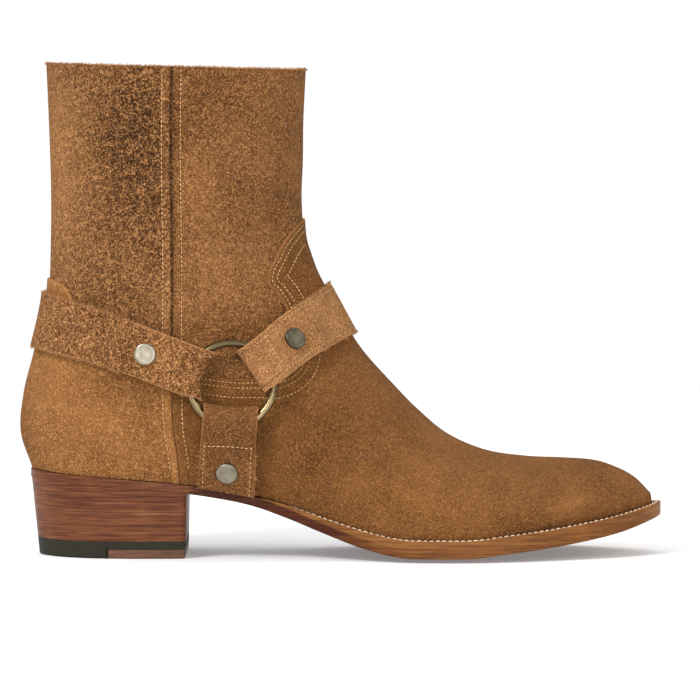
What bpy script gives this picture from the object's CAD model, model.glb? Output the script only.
"""The looks of a right suede harness boot with a stacked leather heel.

The boot's own sizes are in millimetres and measured from the back of its heel, and every mesh is in metres
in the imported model's frame. X runs from heel to toe, Z is up, and the outer side of the foot faces -Y.
"""

from __future__ import annotations

import logging
import math
from dataclasses import dataclass
from enum import Enum, IntEnum
from typing import Callable, Iterable, Sequence

import bpy
import numpy as np
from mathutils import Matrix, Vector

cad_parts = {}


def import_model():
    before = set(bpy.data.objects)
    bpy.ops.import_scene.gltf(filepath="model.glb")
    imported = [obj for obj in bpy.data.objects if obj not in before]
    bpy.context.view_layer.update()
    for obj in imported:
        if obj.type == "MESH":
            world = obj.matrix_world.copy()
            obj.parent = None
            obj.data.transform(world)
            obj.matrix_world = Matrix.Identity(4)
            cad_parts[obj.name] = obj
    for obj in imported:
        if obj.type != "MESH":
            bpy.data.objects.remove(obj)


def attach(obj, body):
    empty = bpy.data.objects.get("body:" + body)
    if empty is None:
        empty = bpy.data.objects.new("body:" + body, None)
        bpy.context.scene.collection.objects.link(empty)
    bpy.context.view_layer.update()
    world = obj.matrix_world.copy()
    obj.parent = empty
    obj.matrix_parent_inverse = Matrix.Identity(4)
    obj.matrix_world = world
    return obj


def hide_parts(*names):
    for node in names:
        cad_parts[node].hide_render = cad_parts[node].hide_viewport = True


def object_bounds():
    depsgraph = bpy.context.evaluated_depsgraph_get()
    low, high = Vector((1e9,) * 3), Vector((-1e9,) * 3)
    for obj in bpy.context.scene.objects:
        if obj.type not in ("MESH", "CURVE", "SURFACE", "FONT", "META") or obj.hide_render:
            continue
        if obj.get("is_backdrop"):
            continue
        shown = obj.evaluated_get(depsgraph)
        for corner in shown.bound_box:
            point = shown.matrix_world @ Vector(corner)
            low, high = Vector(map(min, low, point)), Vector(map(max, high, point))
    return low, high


log = logging.getLogger("boot")
Array = np.ndarray
Colour = tuple[float, float, float]
MILLIMETRE = 0.001
FRAME_SHIFT = np.array([-151.07, 0.81, 0.0])  # from the boot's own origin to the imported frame


class Side(IntEnum):
    """A side of the foot, by the direction it faces along Y."""

    LATERAL = -1
    MEDIAL = 1


def ease(t: Array | float) -> Array:
    """Runs smoothly from 0 to 1 as t does."""
    t = np.clip(t, 0.0, 1.0)
    return t * t * (3.0 - 2.0 * t)


def mix(a: Array | float, b: Array | float, t: Array | float) -> Array:
    """The place between a and b at the share t."""
    return a + (b - a) * t


def unit(v: Array) -> Array:
    """Vectors of length 1, along the last axis."""
    return v / np.maximum(np.linalg.norm(v, axis=-1, keepdims=True), 1e-12)


class Curve:
    """A smooth curve through points; a steady one never overshoots them."""

    def __init__(self, at: Sequence[float], values: Sequence[float], steady: bool = False) -> None:
        """Fits the curve.

        Args:
            at: Rising places of the points.
            values: Value at each place.
            steady: Whether the curve keeps between its neighbouring points.
        """
        self.at = np.asarray(at, float)
        self.values = np.asarray(values, float)
        step = np.diff(self.at)
        slope = np.diff(self.values) / step
        tangent = np.empty_like(self.values)
        tangent[0], tangent[-1] = slope[0], slope[-1]
        before, after = slope[:-1], slope[1:]
        if steady:
            both = before + after
            level = before * after <= 0
            tangent[1:-1] = np.where(level, 0.0, 2 * before * after / np.where(level, 1.0, both))
        else:
            h, k = step[:-1], step[1:]
            tangent[1:-1] = (before * k + after * h) / (h + k)
        self.tangent = tangent

    def __call__(self, x: Array | float) -> Array:
        """The curve's value at each place in x."""
        x = np.asarray(x, float)
        i = np.minimum(np.maximum(np.searchsorted(self.at, x, side="left") - 1, 0), len(self.at) - 2)
        start, h = self.at[i], self.at[i + 1] - self.at[i]
        t = np.minimum(np.maximum((x - start) / h, 0.0), 1.0)
        rest = 1 - t
        lift = t * rest * h * (self.tangent[i] * rest - self.tangent[i + 1] * t)
        low = self.values[i]
        return low + (self.values[i + 1] - low) * (t * t * (3 - 2 * t)) + lift


def smooth_line(points: Sequence[tuple[float, float]], per_span: int = 8) -> Array:
    """A smooth line through points of the side view.

    Args:
        points: Places (x, z) in order.
        per_span: Steps between two places.

    Returns:
        An array of places, one row each.
    """
    p = np.asarray(points, float)
    at = np.concatenate([[0.0], np.cumsum(np.hypot(*np.diff(p, axis=0).T))])
    t = np.unique(np.concatenate([np.linspace(a, b, per_span + 1) for a, b in zip(at, at[1:])]))
    return np.stack([Curve(at, p[:, 0])(t), Curve(at, p[:, 1])(t)], axis=1)


@dataclass
class Last:
    """The form of the foot that the boot is built on, from its tables of sections."""

    sole_length: float = 296.8
    sole_back: float = 4.9
    upper_back: float = 6.6
    upper_length: float = 289.9
    shaft_front: float = 133.0
    heel_bulge: float = 14.6
    toe_swing: float = 4.0
    ball_width: float = 92.5
    waist_width: float = 54.5
    seat_width: float = 62.0
    shaft_width: float = 88.0
    ankle_width: float = 72.4
    seat_rise: float = 36.6
    toe_spring: float = 16.3
    shaft_height: float = 189.2
    vamp_height: float = 47.8
    outsole: float = 6.2
    welt: float = 3.6
    welt_width: float = 5.2
    gap: float = 0.3
    heel_blend: float = 4.2

    BLEND_FADE = 2.2  # sections over which the smoothing at the heel corner ends
    BLEND_REACH = 1.9  # sections on each side that it reads
    BLEND_SPREAD = 1.25

    # share of the length; shares of the heel's rise, the toe's, the outsole's and the welt's thickness
    SOLE_ROWS = (
        (0, 1, 0, 0.645, 0),
        (0.25, 0.836, 0, 0.645, 0),
        (0.3, 0.768, 0, 0.74, 0),
        (0.348, 0.672, 0, 0.87, 0.03),
        (0.407, 0.492, 0, 0.935, 0.43),
        (0.468, 0.285, 0, 0.98, 0.69),
        (0.527, 0.115, 0, 1, 0.92),
        (0.5815, 0.015, 0, 1, 1),
        (0.602, 0, 0, 1, 1),
        (0.683, 0, 0, 1, 1),
        (0.7575, 0, 0.135, 1, 1),
        (0.818, 0, 0.258, 1, 1),
        (0.879, 0, 0.423, 1, 1),
        (0.9266, 0, 0.589, 0.97, 1),
        (1, 0, 1, 0.81, 0.85),
    )
    # turn; the width that the shares are of; outer side, inner side, and the sole's margin
    PLAN_ROWS = (
        (0, "seat_width", 0, 0, 0.33),
        (15, "seat_width", 0.21, 0.21, 0.33),
        (30, "seat_width", 0.41, 0.41, 0.33),
        (45, "seat_width", 0.5, 0.497, 0.31),
        (60, "seat_width", 0.495, 0.476, 0.31),
        (75, "waist_width", 0.53, 0.466, 0.37),
        (90, "ball_width", 0.395, 0.327, 0.69),
        (105, "ball_width", 0.508, 0.463, 0.885),
        (120, "ball_width", 0.487, 0.493, 0.92),
        (135, "ball_width", 0.363, 0.413, 0.94),
        (150, "ball_width", 0.225, 0.292, 0.96),
        (165, "ball_width", 0.0865, 0.16, 0.98),
        (180, "toe_swing", -1, 1, 1),
    )
    # back x and z, front x and z, the width that the shares are of, half-width, and its place
    SHAFT_ROWS = (
        (0.87, 1, 1.0105, 0.985, "shaft_width", 0.5, 0.5),
        (0.955, 0.836, 1.002, 0.863, "shaft_width", 0.484, 0.5),
        (1.005, 0.689, 1, 0.763, "shaft_width", 0.466, 0.5),
        (0.99, 0.553, 0.9956, 0.685, "shaft_width", 0.446, 0.49),
        (0.901, 0.422, 0.9983, 0.6233, "ankle_width", 0.52, 0.47),
        (0.519, 0.29, 1.005, 0.569, "ankle_width", 0.506, 0.45),
        (0.195, 0.191, 1.0242, 0.524, "ankle_width", 0.5, 0.43),
        (0.083, 0.091, 1.0425, 0.4888, "ankle_width", 0.5, 0.42),
    )
    # turn, ridge x and z, the width that the shares are of, outer and inner half-width, and their place
    FOOT_ROWS = (
        (0, 0.467, 2.227, "ankle_width", 0.5, 0.5, 0.42),
        (24, 0.4748, 2.16, "ankle_width", 0.503, 0.5, 0.42),
        (38, 0.4859, 2.058, "ankle_width", 0.506, 0.5, 0.41),
        (50, 0.4991, 1.9345, "ankle_width", 0.508, 0.497, 0.4),
        (62, 0.5161, 1.7814, "ankle_width", 0.511, 0.49, 0.38),
        (75, 0.539, 1.63, "ankle_width", 0.518, 0.483, 0.35),
        (87, 0.5743, 1.442, "ball_width", 0.432, 0.395, 0.31),
        (98, 0.6178, 1.195, "ball_width", 0.476, 0.438, 0.27),
        (108, 0.669, 0.9395, "ball_width", 0.5185, 0.4865, 0.24),
        (118, 0.7319, 0.7579, "ball_width", 0.507, 0.506, 0.22),
        (128, 0.7999, 0.6466, "ball_width", 0.438, 0.468, 0.22),
        (138, 0.8597, 0.586, "ball_width", 0.348, 0.4, 0.22),
        (148, 0.91, 0.5121, "ball_width", 0.2535, 0.321, 0.22),
        (158, 0.9466, 0.3974, "ball_width", 0.159, 0.234, 0.22),
        (168, 0.9735, 0.2691, "ball_width", 0.065, 0.14, 0.22),
        (180, 0.9985, 0.0811, "toe_swing", -1, 1, 0.25),
    )
    # section, power below the widest place, power above it, and the middle line's share of the toe's swing
    SHAPE_ROWS = (
        (0, 0.5, 2.1, 0),
        (8, 0.5, 2, 0),
        (9, 0.7, 1.98, 0.05),
        (11, 0.9, 1.93, 0.2),
        (13, 0.85, 1.86, 0.5),
        (15, 0.8, 1.72, 1),
        (18, 0.65, 1.85, 1.25),
        (23, 0.5, 2, 1),
    )

    def __post_init__(self) -> None:
        """Fits a curve to each column of the tables."""
        sole = list(zip(*self.SOLE_ROWS))
        self._heel, self._toe, self._outsole, self._welt = (Curve(sole[0], c, True) for c in sole[1:])
        rows = [(t, getattr(self, w) * a, getattr(self, w) * b, m) for t, w, a, b, m in self.PLAN_ROWS]
        turn, lateral, medial, margin = zip(*rows)
        self._plan = {Side.LATERAL: Curve(turn, lateral), Side.MEDIAL: Curve(turn, medial)}
        self._margin = Curve(turn, margin, True)
        self.heel_corner = len(self.SHAFT_ROWS)
        self.toe_tip = self.heel_corner + len(self.FOOT_ROWS) - 1
        self.seat_z = float(self.feather_z(self.upper_back))
        table = [
            (
                self.shaft_front * fx,
                self.seat_z + self.shaft_height * fz,
                self.heel_bulge * bx,
                self.seat_z + self.shaft_height * bz,
                getattr(self, of) * wide,
                getattr(self, of) * wide,
                at,
                0,
            )
            for bx, bz, fx, fz, of, wide, at in self.SHAFT_ROWS
        ]
        for turn_, ridge_x, ridge_z, of, lateral_, medial_, at in self.FOOT_ROWS:
            x = self.upper_back + self.upper_length * ridge_x
            z = float(self.feather_z(x)) + self.vamp_height * ridge_z
            w = getattr(self, of)
            table.append((x, z, self.upper_back, self.seat_z, w * lateral_, w * medial_, at, turn_))
        cols = list(zip(*table))
        row = list(range(len(table)))
        up_to = self.heel_corner + 1
        self._front_x, self._front_z = Curve(row, cols[0]), Curve(row, cols[1])
        self._back_x, self._back_z = Curve(row[:up_to], cols[2][:up_to]), Curve(row[:up_to], cols[3][:up_to])
        self._wide = {Side.LATERAL: Curve(row, cols[4]), Side.MEDIAL: Curve(row, cols[5])}
        self._at = Curve(row, cols[6])
        self._turn = Curve(row[self.heel_corner :], cols[7][self.heel_corner :])
        shape = list(zip(*self.SHAPE_ROWS))
        self._rise, self._centre = Curve(shape[0], shape[1], True), Curve(shape[0], shape[3], True)
        self._power = Curve(shape[0], shape[2])

    def along(self, x: Array) -> Array:
        """Share of the sole's length at x."""
        return (np.asarray(x, float) - self.sole_back) / self.sole_length

    def underside(self, x: Array) -> Array:
        """Height of the outsole's underside."""
        return self.seat_rise * self._heel(self.along(x)) + self.toe_spring * self._toe(self.along(x))

    def outsole_top(self, x: Array) -> Array:
        """Height of the outsole's top."""
        return self.underside(x) + self.outsole * self._outsole(self.along(x))

    def welt_top(self, x: Array) -> Array:
        """Height of the welt's top."""
        return self.outsole_top(x) + (self.welt + self.gap) * self._welt(self.along(x))

    def feather_z(self, x: Array) -> Array:
        """Height at which the upper stands on the sole."""
        return self.welt_top(x) + self.gap

    def margin(self, turn: Array) -> Array:
        """How far the sole stands out from the upper at a turn of the plan."""
        return self.welt_width * self._margin(turn)

    def plan(self, turn: Array, side: Array, out: Array | float = 0.0) -> tuple[Array, Array]:
        """A point of the plan of the foot, moved out square to its outline.

        Args:
            turn: Degrees round the plan, 0 at the back of the heel and 180 at the toe tip.
            side: The side of the foot, as a Side's value.
            out: How far the point moves out.

        Returns:
            Its x and its y.
        """
        turn, side, out = np.broadcast_arrays(np.asarray(turn, float), side, np.asarray(out, float))

        def at(t: Array) -> tuple[Array, Array]:
            """x, and the half-width there."""
            x = self.upper_back + self.upper_length * (1 - np.cos(np.radians(t))) / 2
            near = np.clip(np.abs(t), 0, 180)
            return x, np.where(side < 0, self._plan[Side.LATERAL](near), self._plan[Side.MEDIAL](near))

        step = 0.5
        (x, y), (x0, y0), (x1, y1) = at(turn), at(turn - step), at(turn + step)
        length = np.maximum(np.hypot(x1 - x0, y1 - y0), 1e-9)
        dx, dy = -(y1 - y0) / length, (x1 - x0) / length
        back, tip = turn < step, turn > 180 - step
        dx = np.where(back, -1.0, np.where(tip, 1.0, dx))
        dy = np.where(back | tip, 0.0, dy)
        return x + out * dx, side * (y + out * dy)

    def front_point(self, row: Array, inset: Array | float = 0.0) -> tuple[Array, Array]:
        """Front or ridge point of a section in the side view, as x and z."""
        a, b = np.maximum(0, row - 0.02), np.minimum(self.toe_tip, row + 0.02)
        dx, dz = self._front_x(b) - self._front_x(a), self._front_z(b) - self._front_z(a)
        length = np.hypot(dx, dz)
        return self._front_x(row) + inset * dz / length, self._front_z(row) - inset * dx / length

    def base_point(self, row: Array, side: Array, inset: Array | float = 0.0) -> tuple[Array, Array, Array]:
        """Back or feather point of a section, as x, y and z."""
        row = np.asarray(row, float)
        on_foot = row > self.heel_corner
        px, py = self.plan(self._turn(np.maximum(row, self.heel_corner)), side, -np.asarray(inset, float))
        upper = np.minimum(row, self.heel_corner)
        x = np.where(on_foot, px, self._back_x(upper) + inset)
        z = np.where(on_foot, self.feather_z(px), self._back_z(upper))
        return x, np.where(on_foot, py, 0.0), z

    def middle(self, row: Array) -> Array:
        """Y of a section's middle line."""
        return np.where(row <= self.heel_corner, 0.0, self.toe_swing * self._centre(row))

    def half_width(self, row: Array, angle: Array, side: Array, inset: Array | float) -> Array:
        """Half-width of a section on one side, from its middle line."""
        middle = self.middle(row)
        start = side * (self.base_point(row, side, inset)[1] - middle)
        wide = np.where(side < 0, self._wide[Side.LATERAL](row), self._wide[Side.MEDIAL](row))
        widest = np.maximum(start, np.where(row < self.toe_tip, wide - inset - side * middle, 0.0))
        along = (1 - np.cos(angle)) / 2
        at, power = self._at(row), self._power(row)
        low = np.sin(np.pi * np.clip(along / at, 0, 1) / 2) ** self._rise(row)
        high = np.maximum(0, 1 - np.clip((along - at) / (1 - at), 0, 1) ** power) ** (1 / power)
        return np.where(along < at, start + (widest - start) * low, widest * high)

    def skin(self, row: Array, angle: Array, side: Array, inset: Array | float = 0.0) -> Array:
        """Points of the upper's skin.

        Args:
            row: Section, 0 at the collar, 8 at the heel corner and 23 at the toe tip.
            angle: 0 at the back or feather, and pi at the front or ridge.
            side: The side of the foot, as a Side's value.
            inset: How far the point is moved in; below 0 it is moved out.

        Returns:
            Places with the coordinates on the last axis.
        """
        row, angle, side, inset = np.broadcast_arrays(
            np.asarray(row, float), np.asarray(angle, float), side, np.asarray(inset, float)
        )
        bx, _, bz = self.base_point(row, side, inset)
        fx, fz = self.front_point(row, inset)
        along = (1 - np.cos(angle)) / 2
        half = self.half_width(row, angle, side, inset)
        share = ease((self.heel_blend - np.abs(row - self.heel_corner)) / self.BLEND_FADE) * ease(angle / 0.8)
        bent = share > 0
        if bent.any():
            r, a, s, i = row[bent], angle[bent], side[bent], inset[bent]
            offsets = np.linspace(-self.BLEND_REACH, self.BLEND_REACH, 9)
            weights = np.exp(-((offsets / self.BLEND_SPREAD) ** 2))
            near = sum(w * self.half_width(r + d, a, s, i) for d, w in zip(offsets, weights)) / weights.sum()
            half[bent] = mix(half[bent], near, share[bent])
        y = self.middle(row) + side * half
        return np.stack([mix(bx, fx, along), y, mix(bz, fz, along)], axis=-1)

    def normal(self, row: Array, angle: Array, side: Array, inset: Array | float = 0.0) -> Array:
        """The skin's outward normals."""
        step = 0.01
        rows = np.maximum(0, row - step), np.minimum(self.toe_tip, row + step)
        angles = np.maximum(0.002, angle - step), np.minimum(math.pi - 0.002, angle + step)
        across = self.skin(row, angles[1], side, inset) - self.skin(row, angles[0], side, inset)
        down = self.skin(rows[1], angle, side, inset) - self.skin(rows[0], angle, side, inset)
        return unit(np.cross(across, down)) * np.asarray(side)[..., None]

    def locate(self, x: Array, z: Array, side: Array, inset: Array | float) -> tuple[Array, Array]:
        """The row and angle of the skin point at x and z in the side view."""
        x, z, side = np.broadcast_arrays(np.asarray(x, float), np.asarray(z, float), side)
        low, high = np.zeros_like(x), np.full_like(x, self.toe_tip)
        for _ in range(19):
            row = (low + high) / 2
            bx, _, bz = self.base_point(row, side, inset)
            fx, fz = self.front_point(row, inset)
            before = (fx - bx) * (z - bz) - (fz - bz) * (x - bx) < 0
            low, high = np.where(before, row, low), np.where(before, high, row)
        bx, _, bz = self.base_point(low, side, inset)
        fx, fz = self.front_point(low, inset)
        share = ((x - bx) * (fx - bx) + (z - bz) * (fz - bz)) / ((fx - bx) ** 2 + (fz - bz) ** 2)
        return low, np.arccos(1 - 2 * np.clip(share, 0, 1))

    def bed(self, x: Array, z: Array, side: Array, lap: float = 1.2) -> tuple[Array, Array]:
        """The lapped skin under places of the side view, with its normals."""
        row, angle = self.locate(x, z, side, -lap)
        turned = np.maximum(angle, 0.5)
        return self.skin(row, angle, side, -lap), self.normal(row, turned, side, -lap)

    def on_side(self, x: float, z: float) -> tuple[float, float]:
        """A place of the side view from shares of the shaft's front and height."""
        return self.shaft_front * x, self.seat_z + self.shaft_height * z


def tint(colour: Colour, share: float) -> Colour:
    """A colour made lighter or darker by a share."""
    return tuple(min(1.0, c * share) for c in colour)


class Number:
    """A number in a node tree; sums and products of it add nodes."""

    def __init__(self, graph: Graph, socket: bpy.types.NodeSocket) -> None:
        """Wraps a socket.

        Args:
            graph: Where nodes are added.
            socket: The socket that gives the number.
        """
        self.graph, self.socket = graph, socket

    def __add__(self, other: Number | float) -> Number:
        """The sum of two numbers."""
        return self.graph.maths("ADD", self, other)

    def __sub__(self, other: float) -> Number:
        """The number less another."""
        return self + -other

    def __mul__(self, other: Number | float) -> Number:
        """The product of two numbers."""
        return self.graph.maths("MULTIPLY", self, other)


class Graph:
    """Adds nodes to one tree."""

    def __init__(self, tree: bpy.types.NodeTree) -> None:
        """Keeps the tree.

        Args:
            tree: The tree of a material or of geometry nodes.
        """
        self.tree = tree

    def node(self, kind: str, inputs: dict | None = None, **settings: object) -> bpy.types.Node:
        """Adds a node.

        Args:
            kind: Its type.
            inputs: Numbers, sockets or values by input name or index.
            settings: Properties of the node.

        Returns:
            The node.
        """
        node = self.tree.nodes.new(kind)
        for key, value in settings.items():
            setattr(node, key, value)
        for key, value in (inputs or {}).items():
            value = value.socket if isinstance(value, Number) else value
            if isinstance(value, bpy.types.NodeSocket):
                self.tree.links.new(value, node.inputs[key])
            else:
                node.inputs[key].default_value = value
        return node

    def number(self, kind: str, inputs: dict, output: int | str = 0, **settings: object) -> Number:
        """Adds a node and gives one of its outputs as a number."""
        return Number(self, self.node(kind, inputs, **settings).outputs[output])

    def maths(self, kind: str, a: Number | float, b: Number | float = 0.0) -> Number:
        """One operation on two numbers."""
        return self.number("ShaderNodeMath", {0: a, 1: b}, operation=kind)


class Shader(Graph):
    """Builds one procedural material, node by node."""

    CURL_WIDTH = 0.075  # how far from the middle of a noise a fibre reaches

    def __init__(self, name: str) -> None:
        """Starts an empty material.

        Args:
            name: Name of the material.
        """
        self.material = bpy.data.materials.new(name)
        self.material.use_nodes = True
        super().__init__(self.material.node_tree)
        self.tree.nodes.clear()
        self.place = self.node("ShaderNodeTexCoord").outputs["Object"]

    def stretched(self, scale: Sequence[float]) -> bpy.types.NodeSocket:
        """Object places stretched by a scale along each axis."""
        return self.node("ShaderNodeMapping", {"Vector": self.place, "Scale": scale}).outputs[0]

    def noise(
        self,
        size: float,
        detail: float = 3.0,
        rough: float = 0.55,
        at: bpy.types.NodeSocket | None = None,
        warp: float = 0.0,
    ) -> Number:
        """Noise over the object.

        Args:
            size: Width of its features, in millimetres.
            detail: How many finer layers it has.
            rough: Strength of each finer layer.
            at: Places to read in place of the object's own.
            warp: How far its features are bent.

        Returns:
            A number round 0.5.
        """
        inputs = {"Vector": at or self.place, "Scale": 1.0 / (size * MILLIMETRE)}
        inputs |= {"Detail": detail, "Roughness": rough, "Distortion": warp}
        return self.number("ShaderNodeTexNoise", inputs, "Fac")

    def cells(self, size: float) -> Number:
        """Distance from the middle of cells that are size millimetres across."""
        inputs = {"Vector": self.place, "Scale": 1.0 / (size * MILLIMETRE)}
        return self.number("ShaderNodeTexVoronoi", inputs, "Distance")

    def curls(self, size: float) -> Number:
        """Winding fibres, size millimetres apart: 1 along their middles and 0 between them."""
        away = self.maths("ABSOLUTE", self.noise(size, 1.0, 0.5, warp=0.7) - 0.5)
        return self.scaled(away, 0.0, self.CURL_WIDTH, (1.0, 0.0))

    def attribute(self, name: str) -> Number:
        """A number that the mesh carries."""
        return self.number("ShaderNodeAttribute", {}, "Fac", attribute_name=name)

    def scaled(self, a: Number, low: float, high: float, to: tuple[float, float] = (0, 1)) -> Number:
        """a, moved from the range low to high to another range, and kept in it."""
        return self.number("ShaderNodeMapRange", {0: a, 1: low, 2: high, 3: to[0], 4: to[1]}, clamp=True)

    def ramp(self, a: Number, stops: Sequence[tuple[float, Colour]]) -> bpy.types.NodeSocket:
        """A colour for each value of a number.

        Args:
            a: The number.
            stops: Values with their colours.

        Returns:
            The colour.
        """
        node = self.node("ShaderNodeValToRGB", {0: a})
        parts = node.color_ramp.elements
        while len(parts) < len(stops):
            parts.new(0.5)
        for part, (at, colour) in zip(parts, stops):
            part.position = at
            part.color = (*colour, 1.0)
        return node.outputs[0]

    def blend(self, share: Number, under: bpy.types.NodeSocket, over: Colour) -> bpy.types.NodeSocket:
        """A colour with a share of a plain one over it."""
        inputs = {0: share, 6: under, 7: (*over, 1.0)}
        return self.node("ShaderNodeMix", inputs, data_type="RGBA").outputs[2]

    def bump(self, height: Number, distance: float) -> bpy.types.NodeSocket:
        """A normal from a height whose full range is distance millimetres."""
        inputs = {"Height": height, "Distance": distance * MILLIMETRE, "Strength": 1.0}
        return self.node("ShaderNodeBump", inputs).outputs[0]

    def finish(
        self, colour: bpy.types.NodeSocket, normal: bpy.types.NodeSocket | None = None, **sockets: object
    ) -> bpy.types.Material:
        """Ends the material in one surface.

        Args:
            colour: Base colour.
            normal: Normal, where there is a bump.
            sockets: Values of other inputs, with _ for the spaces of their names.

        Returns:
            The material.
        """
        inputs = {"Base Color": colour, **{key.replace("_", " "): value for key, value in sockets.items()}}
        if normal is not None:
            inputs["Normal"] = normal
        surface = self.node("ShaderNodeBsdfPrincipled", inputs)
        self.node("ShaderNodeOutputMaterial", {0: surface.outputs[0]})
        return self.material


@dataclass(frozen=True)
class Groove:
    """Places of stitch rows, by their distance along one of the mesh's own measures."""

    measure: str
    rows: tuple[float, ...]
    reach: float = 12.0
    width: float = 0.55

    def shade(self, shader: Shader) -> Number:
        """1 on the leather and 0 in the middle of a row."""
        distance = shader.maths("DIVIDE", shader.attribute(self.measure), self.reach)
        stops: list[tuple[float, Colour]] = [(0.0, (1, 1, 1))]
        for row in self.rows:
            for step, value in ((-1, 1.0), (0, 0.0), (1, 1.0)):
                stops.append(((row + step * self.width) / self.reach, (value,) * 3))
        return Number(shader, shader.ramp(distance, stops))


@dataclass(frozen=True)
class Suede:
    """A napped leather: curly fibres in small clumps, with lighter and darker mottles."""

    name: str
    dark: Colour
    middle: Colour
    light: Colour
    nap: float = 0.5
    clump: float = 1.9
    crumb: float = 1.0
    contrast: float = 2.1
    depth: float = 1.9
    mottle: float = 0.26
    swell: float = 2.6
    grooves: tuple[Groove, ...] = ()

    def make(self) -> bpy.types.Material:
        """Builds the material."""
        s = Shader(self.name)
        coarse = s.attribute("nap")
        share = coarse * 0.62 + 0.38
        long, short = s.curls(self.clump), s.curls(self.crumb)
        nap, pits = s.noise(self.nap, 2, 0.7), s.noise(self.clump * 1.5, 2, 0.6, warp=0.5)
        colour = s.ramp(self._tone(s, coarse, share, long, short, nap, pits) * 0.72 + 0.14, self._stops())
        tips = s.scaled(s.noise(0.85, 1, 0.5), 0.6, 0.68, (0.0, 0.75)) * share
        colour = s.blend(tips, colour, tint(self.light, 1.35))
        edge = s.scaled(s.attribute("edge"), 0.05, 0.8, (0.75, 0.0))
        colour = s.blend(edge, colour, tint(self.light, 1.1))
        height = nap * 0.55 + (short * 0.28) * share
        height = height + (long * 0.35) * coarse
        height = height + s.noise(34, 1, 0.4) * self.swell
        for groove in self.grooves:
            row = groove.shade(s)
            height = height + row * 0.45
            colour = s.blend(s.scaled(row, 0.0, 1.0, (0.3, 0.0)), colour, self.dark)
        return s.finish(
            colour,
            s.bump(height, self.depth),
            Roughness=0.95,
            Specular_IOR_Level=0.08,
            Sheen_Weight=0.06,
            Sheen_Roughness=0.45,
            Sheen_Tint=(1.0, 0.72, 0.45, 1.0),
        )

    def _stops(self) -> list[tuple[float, Colour]]:
        """Colours of the nap from its deepest to its lightest tone."""
        deep, bright = tint(self.dark, 0.75), tint(self.light, 1.3)
        return [(0.0, deep), (0.14, self.dark), (0.5, self.middle), (0.86, self.light), (1.0, bright)]

    def _tone(
        self, s: Shader, coarse: Number, share: Number, long: Number, short: Number, nap: Number, pits: Number
    ) -> Number:
        """How light each place is.

        Args:
            s: The material's shader.
            coarse: How coarse the nap is, from 0 to 1.
            share: The same, but never near 0.
            long: The larger fibres.
            short: The smaller fibres.
            nap: The finest grain.
            pits: Small hollows between the clumps.

        Returns:
            A number round 0.5.
        """
        rough = (long - 0.33) * (coarse * 0.5)
        rough = rough + (short - 0.33) * (share * 0.3)
        rough = rough + (pits - 0.5) * (coarse * 0.4)
        grain = (rough + (nap - 0.5) * 1.5) * (self.contrast * 0.7)
        grain = grain + s.maths("MAXIMUM", grain, 0.0) * 0.8
        cloud = (s.noise(46, 2) - 0.5) * (self.mottle * 2.6)
        cloud = cloud + (s.noise(11, 2, 0.5) - 0.5) * (self.mottle * 0.7)
        return (grain + cloud) + (s.attribute("tone") + 0.455)


@dataclass(frozen=True)
class SmoothLeather:
    """A smooth leather with fine pores and faint rubbed patches."""

    name: str
    dark: Colour
    light: Colour
    rough: float = 0.5

    def make(self) -> bpy.types.Material:
        """Builds the material."""
        s = Shader(self.name)
        patches = s.noise(18, 4, 0.6)
        colour = s.ramp(patches + s.noise(1.2, 2) * 0.25, [(0.35, self.dark), (0.85, self.light)])
        normal = s.bump(s.scaled(s.cells(0.9), 0.0, 0.5) + s.noise(3.0, 3), 0.12)
        rough = s.scaled(patches, 0.3, 0.7, (self.rough - 0.08, self.rough + 0.1))
        return s.finish(colour, normal, Roughness=rough, Specular_IOR_Level=0.35)


@dataclass(frozen=True)
class EdgeLeather:
    """The polished cut edge of sole leather: streaks that run level along the edge."""

    name: str
    dark: Colour
    middle: Colour
    light: Colour
    streak: float = 1.1
    shine: float = 0.32
    lines: float = 0.0

    def make(self) -> bpy.types.Material:
        """Builds the material."""
        s = Shader(self.name)
        level = s.stretched((0.035, 0.035, 1.0))
        streaks, fine = s.noise(self.streak, 5, 0.65, level), s.noise(0.45, 3, 0.6, level)
        cloud = s.noise(24, 3)
        tone = (streaks * 0.6 + fine * 0.3) + cloud * 0.25 + s.attribute("tone")
        colour = s.ramp(tone, [(0.42, self.dark), (0.575, self.middle), (0.73, self.light)])
        seam = s.scaled(s.attribute("joint"), 0.0, 0.28)
        colour = s.blend(s.scaled(seam, 0.0, 1.0, (self.lines, 0.0)), colour, tint(self.dark, 0.3))
        rough = s.scaled(cloud, 0.3, 0.7, (self.shine, self.shine + 0.16))
        return s.finish(colour, s.bump(streaks + fine + seam, 0.07), Roughness=rough, Specular_IOR_Level=0.16)


@dataclass(frozen=True)
class Rubber:
    """Dull rubber with a slight speckle."""

    name: str
    colour: Colour

    def make(self) -> bpy.types.Material:
        """Builds the material."""
        s = Shader(self.name)
        speckle = s.noise(0.8, 4, 0.7)
        colour = s.ramp(speckle, [(0.3, tint(self.colour, 0.7)), (0.72, tint(self.colour, 1.35))])
        rough = s.scaled(speckle, 0.3, 0.7, (0.5, 0.75))
        return s.finish(colour, s.bump(speckle + s.noise(4, 2), 0.1), Roughness=rough, Specular_IOR_Level=0.22)


@dataclass(frozen=True)
class Brass:
    """Old brass with duller and brighter patches."""

    name: str
    dark: Colour
    bright: Colour
    rough: float = 0.3

    def make(self) -> bpy.types.Material:
        """Builds the material."""
        s = Shader(self.name)
        tone = s.noise(4.5, 3, 0.5) * 0.75 + s.noise(0.8, 3) * 0.25 + s.attribute("tone")
        colour = s.ramp(tone, [(0.3, self.dark), (0.7, self.bright)])
        rough = s.scaled(tone, 0.3, 0.7, (self.rough + 0.08, self.rough))
        return s.finish(colour, s.bump(s.noise(0.6, 4, 0.7), 0.012), Metallic=1.0, Roughness=rough)


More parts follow.
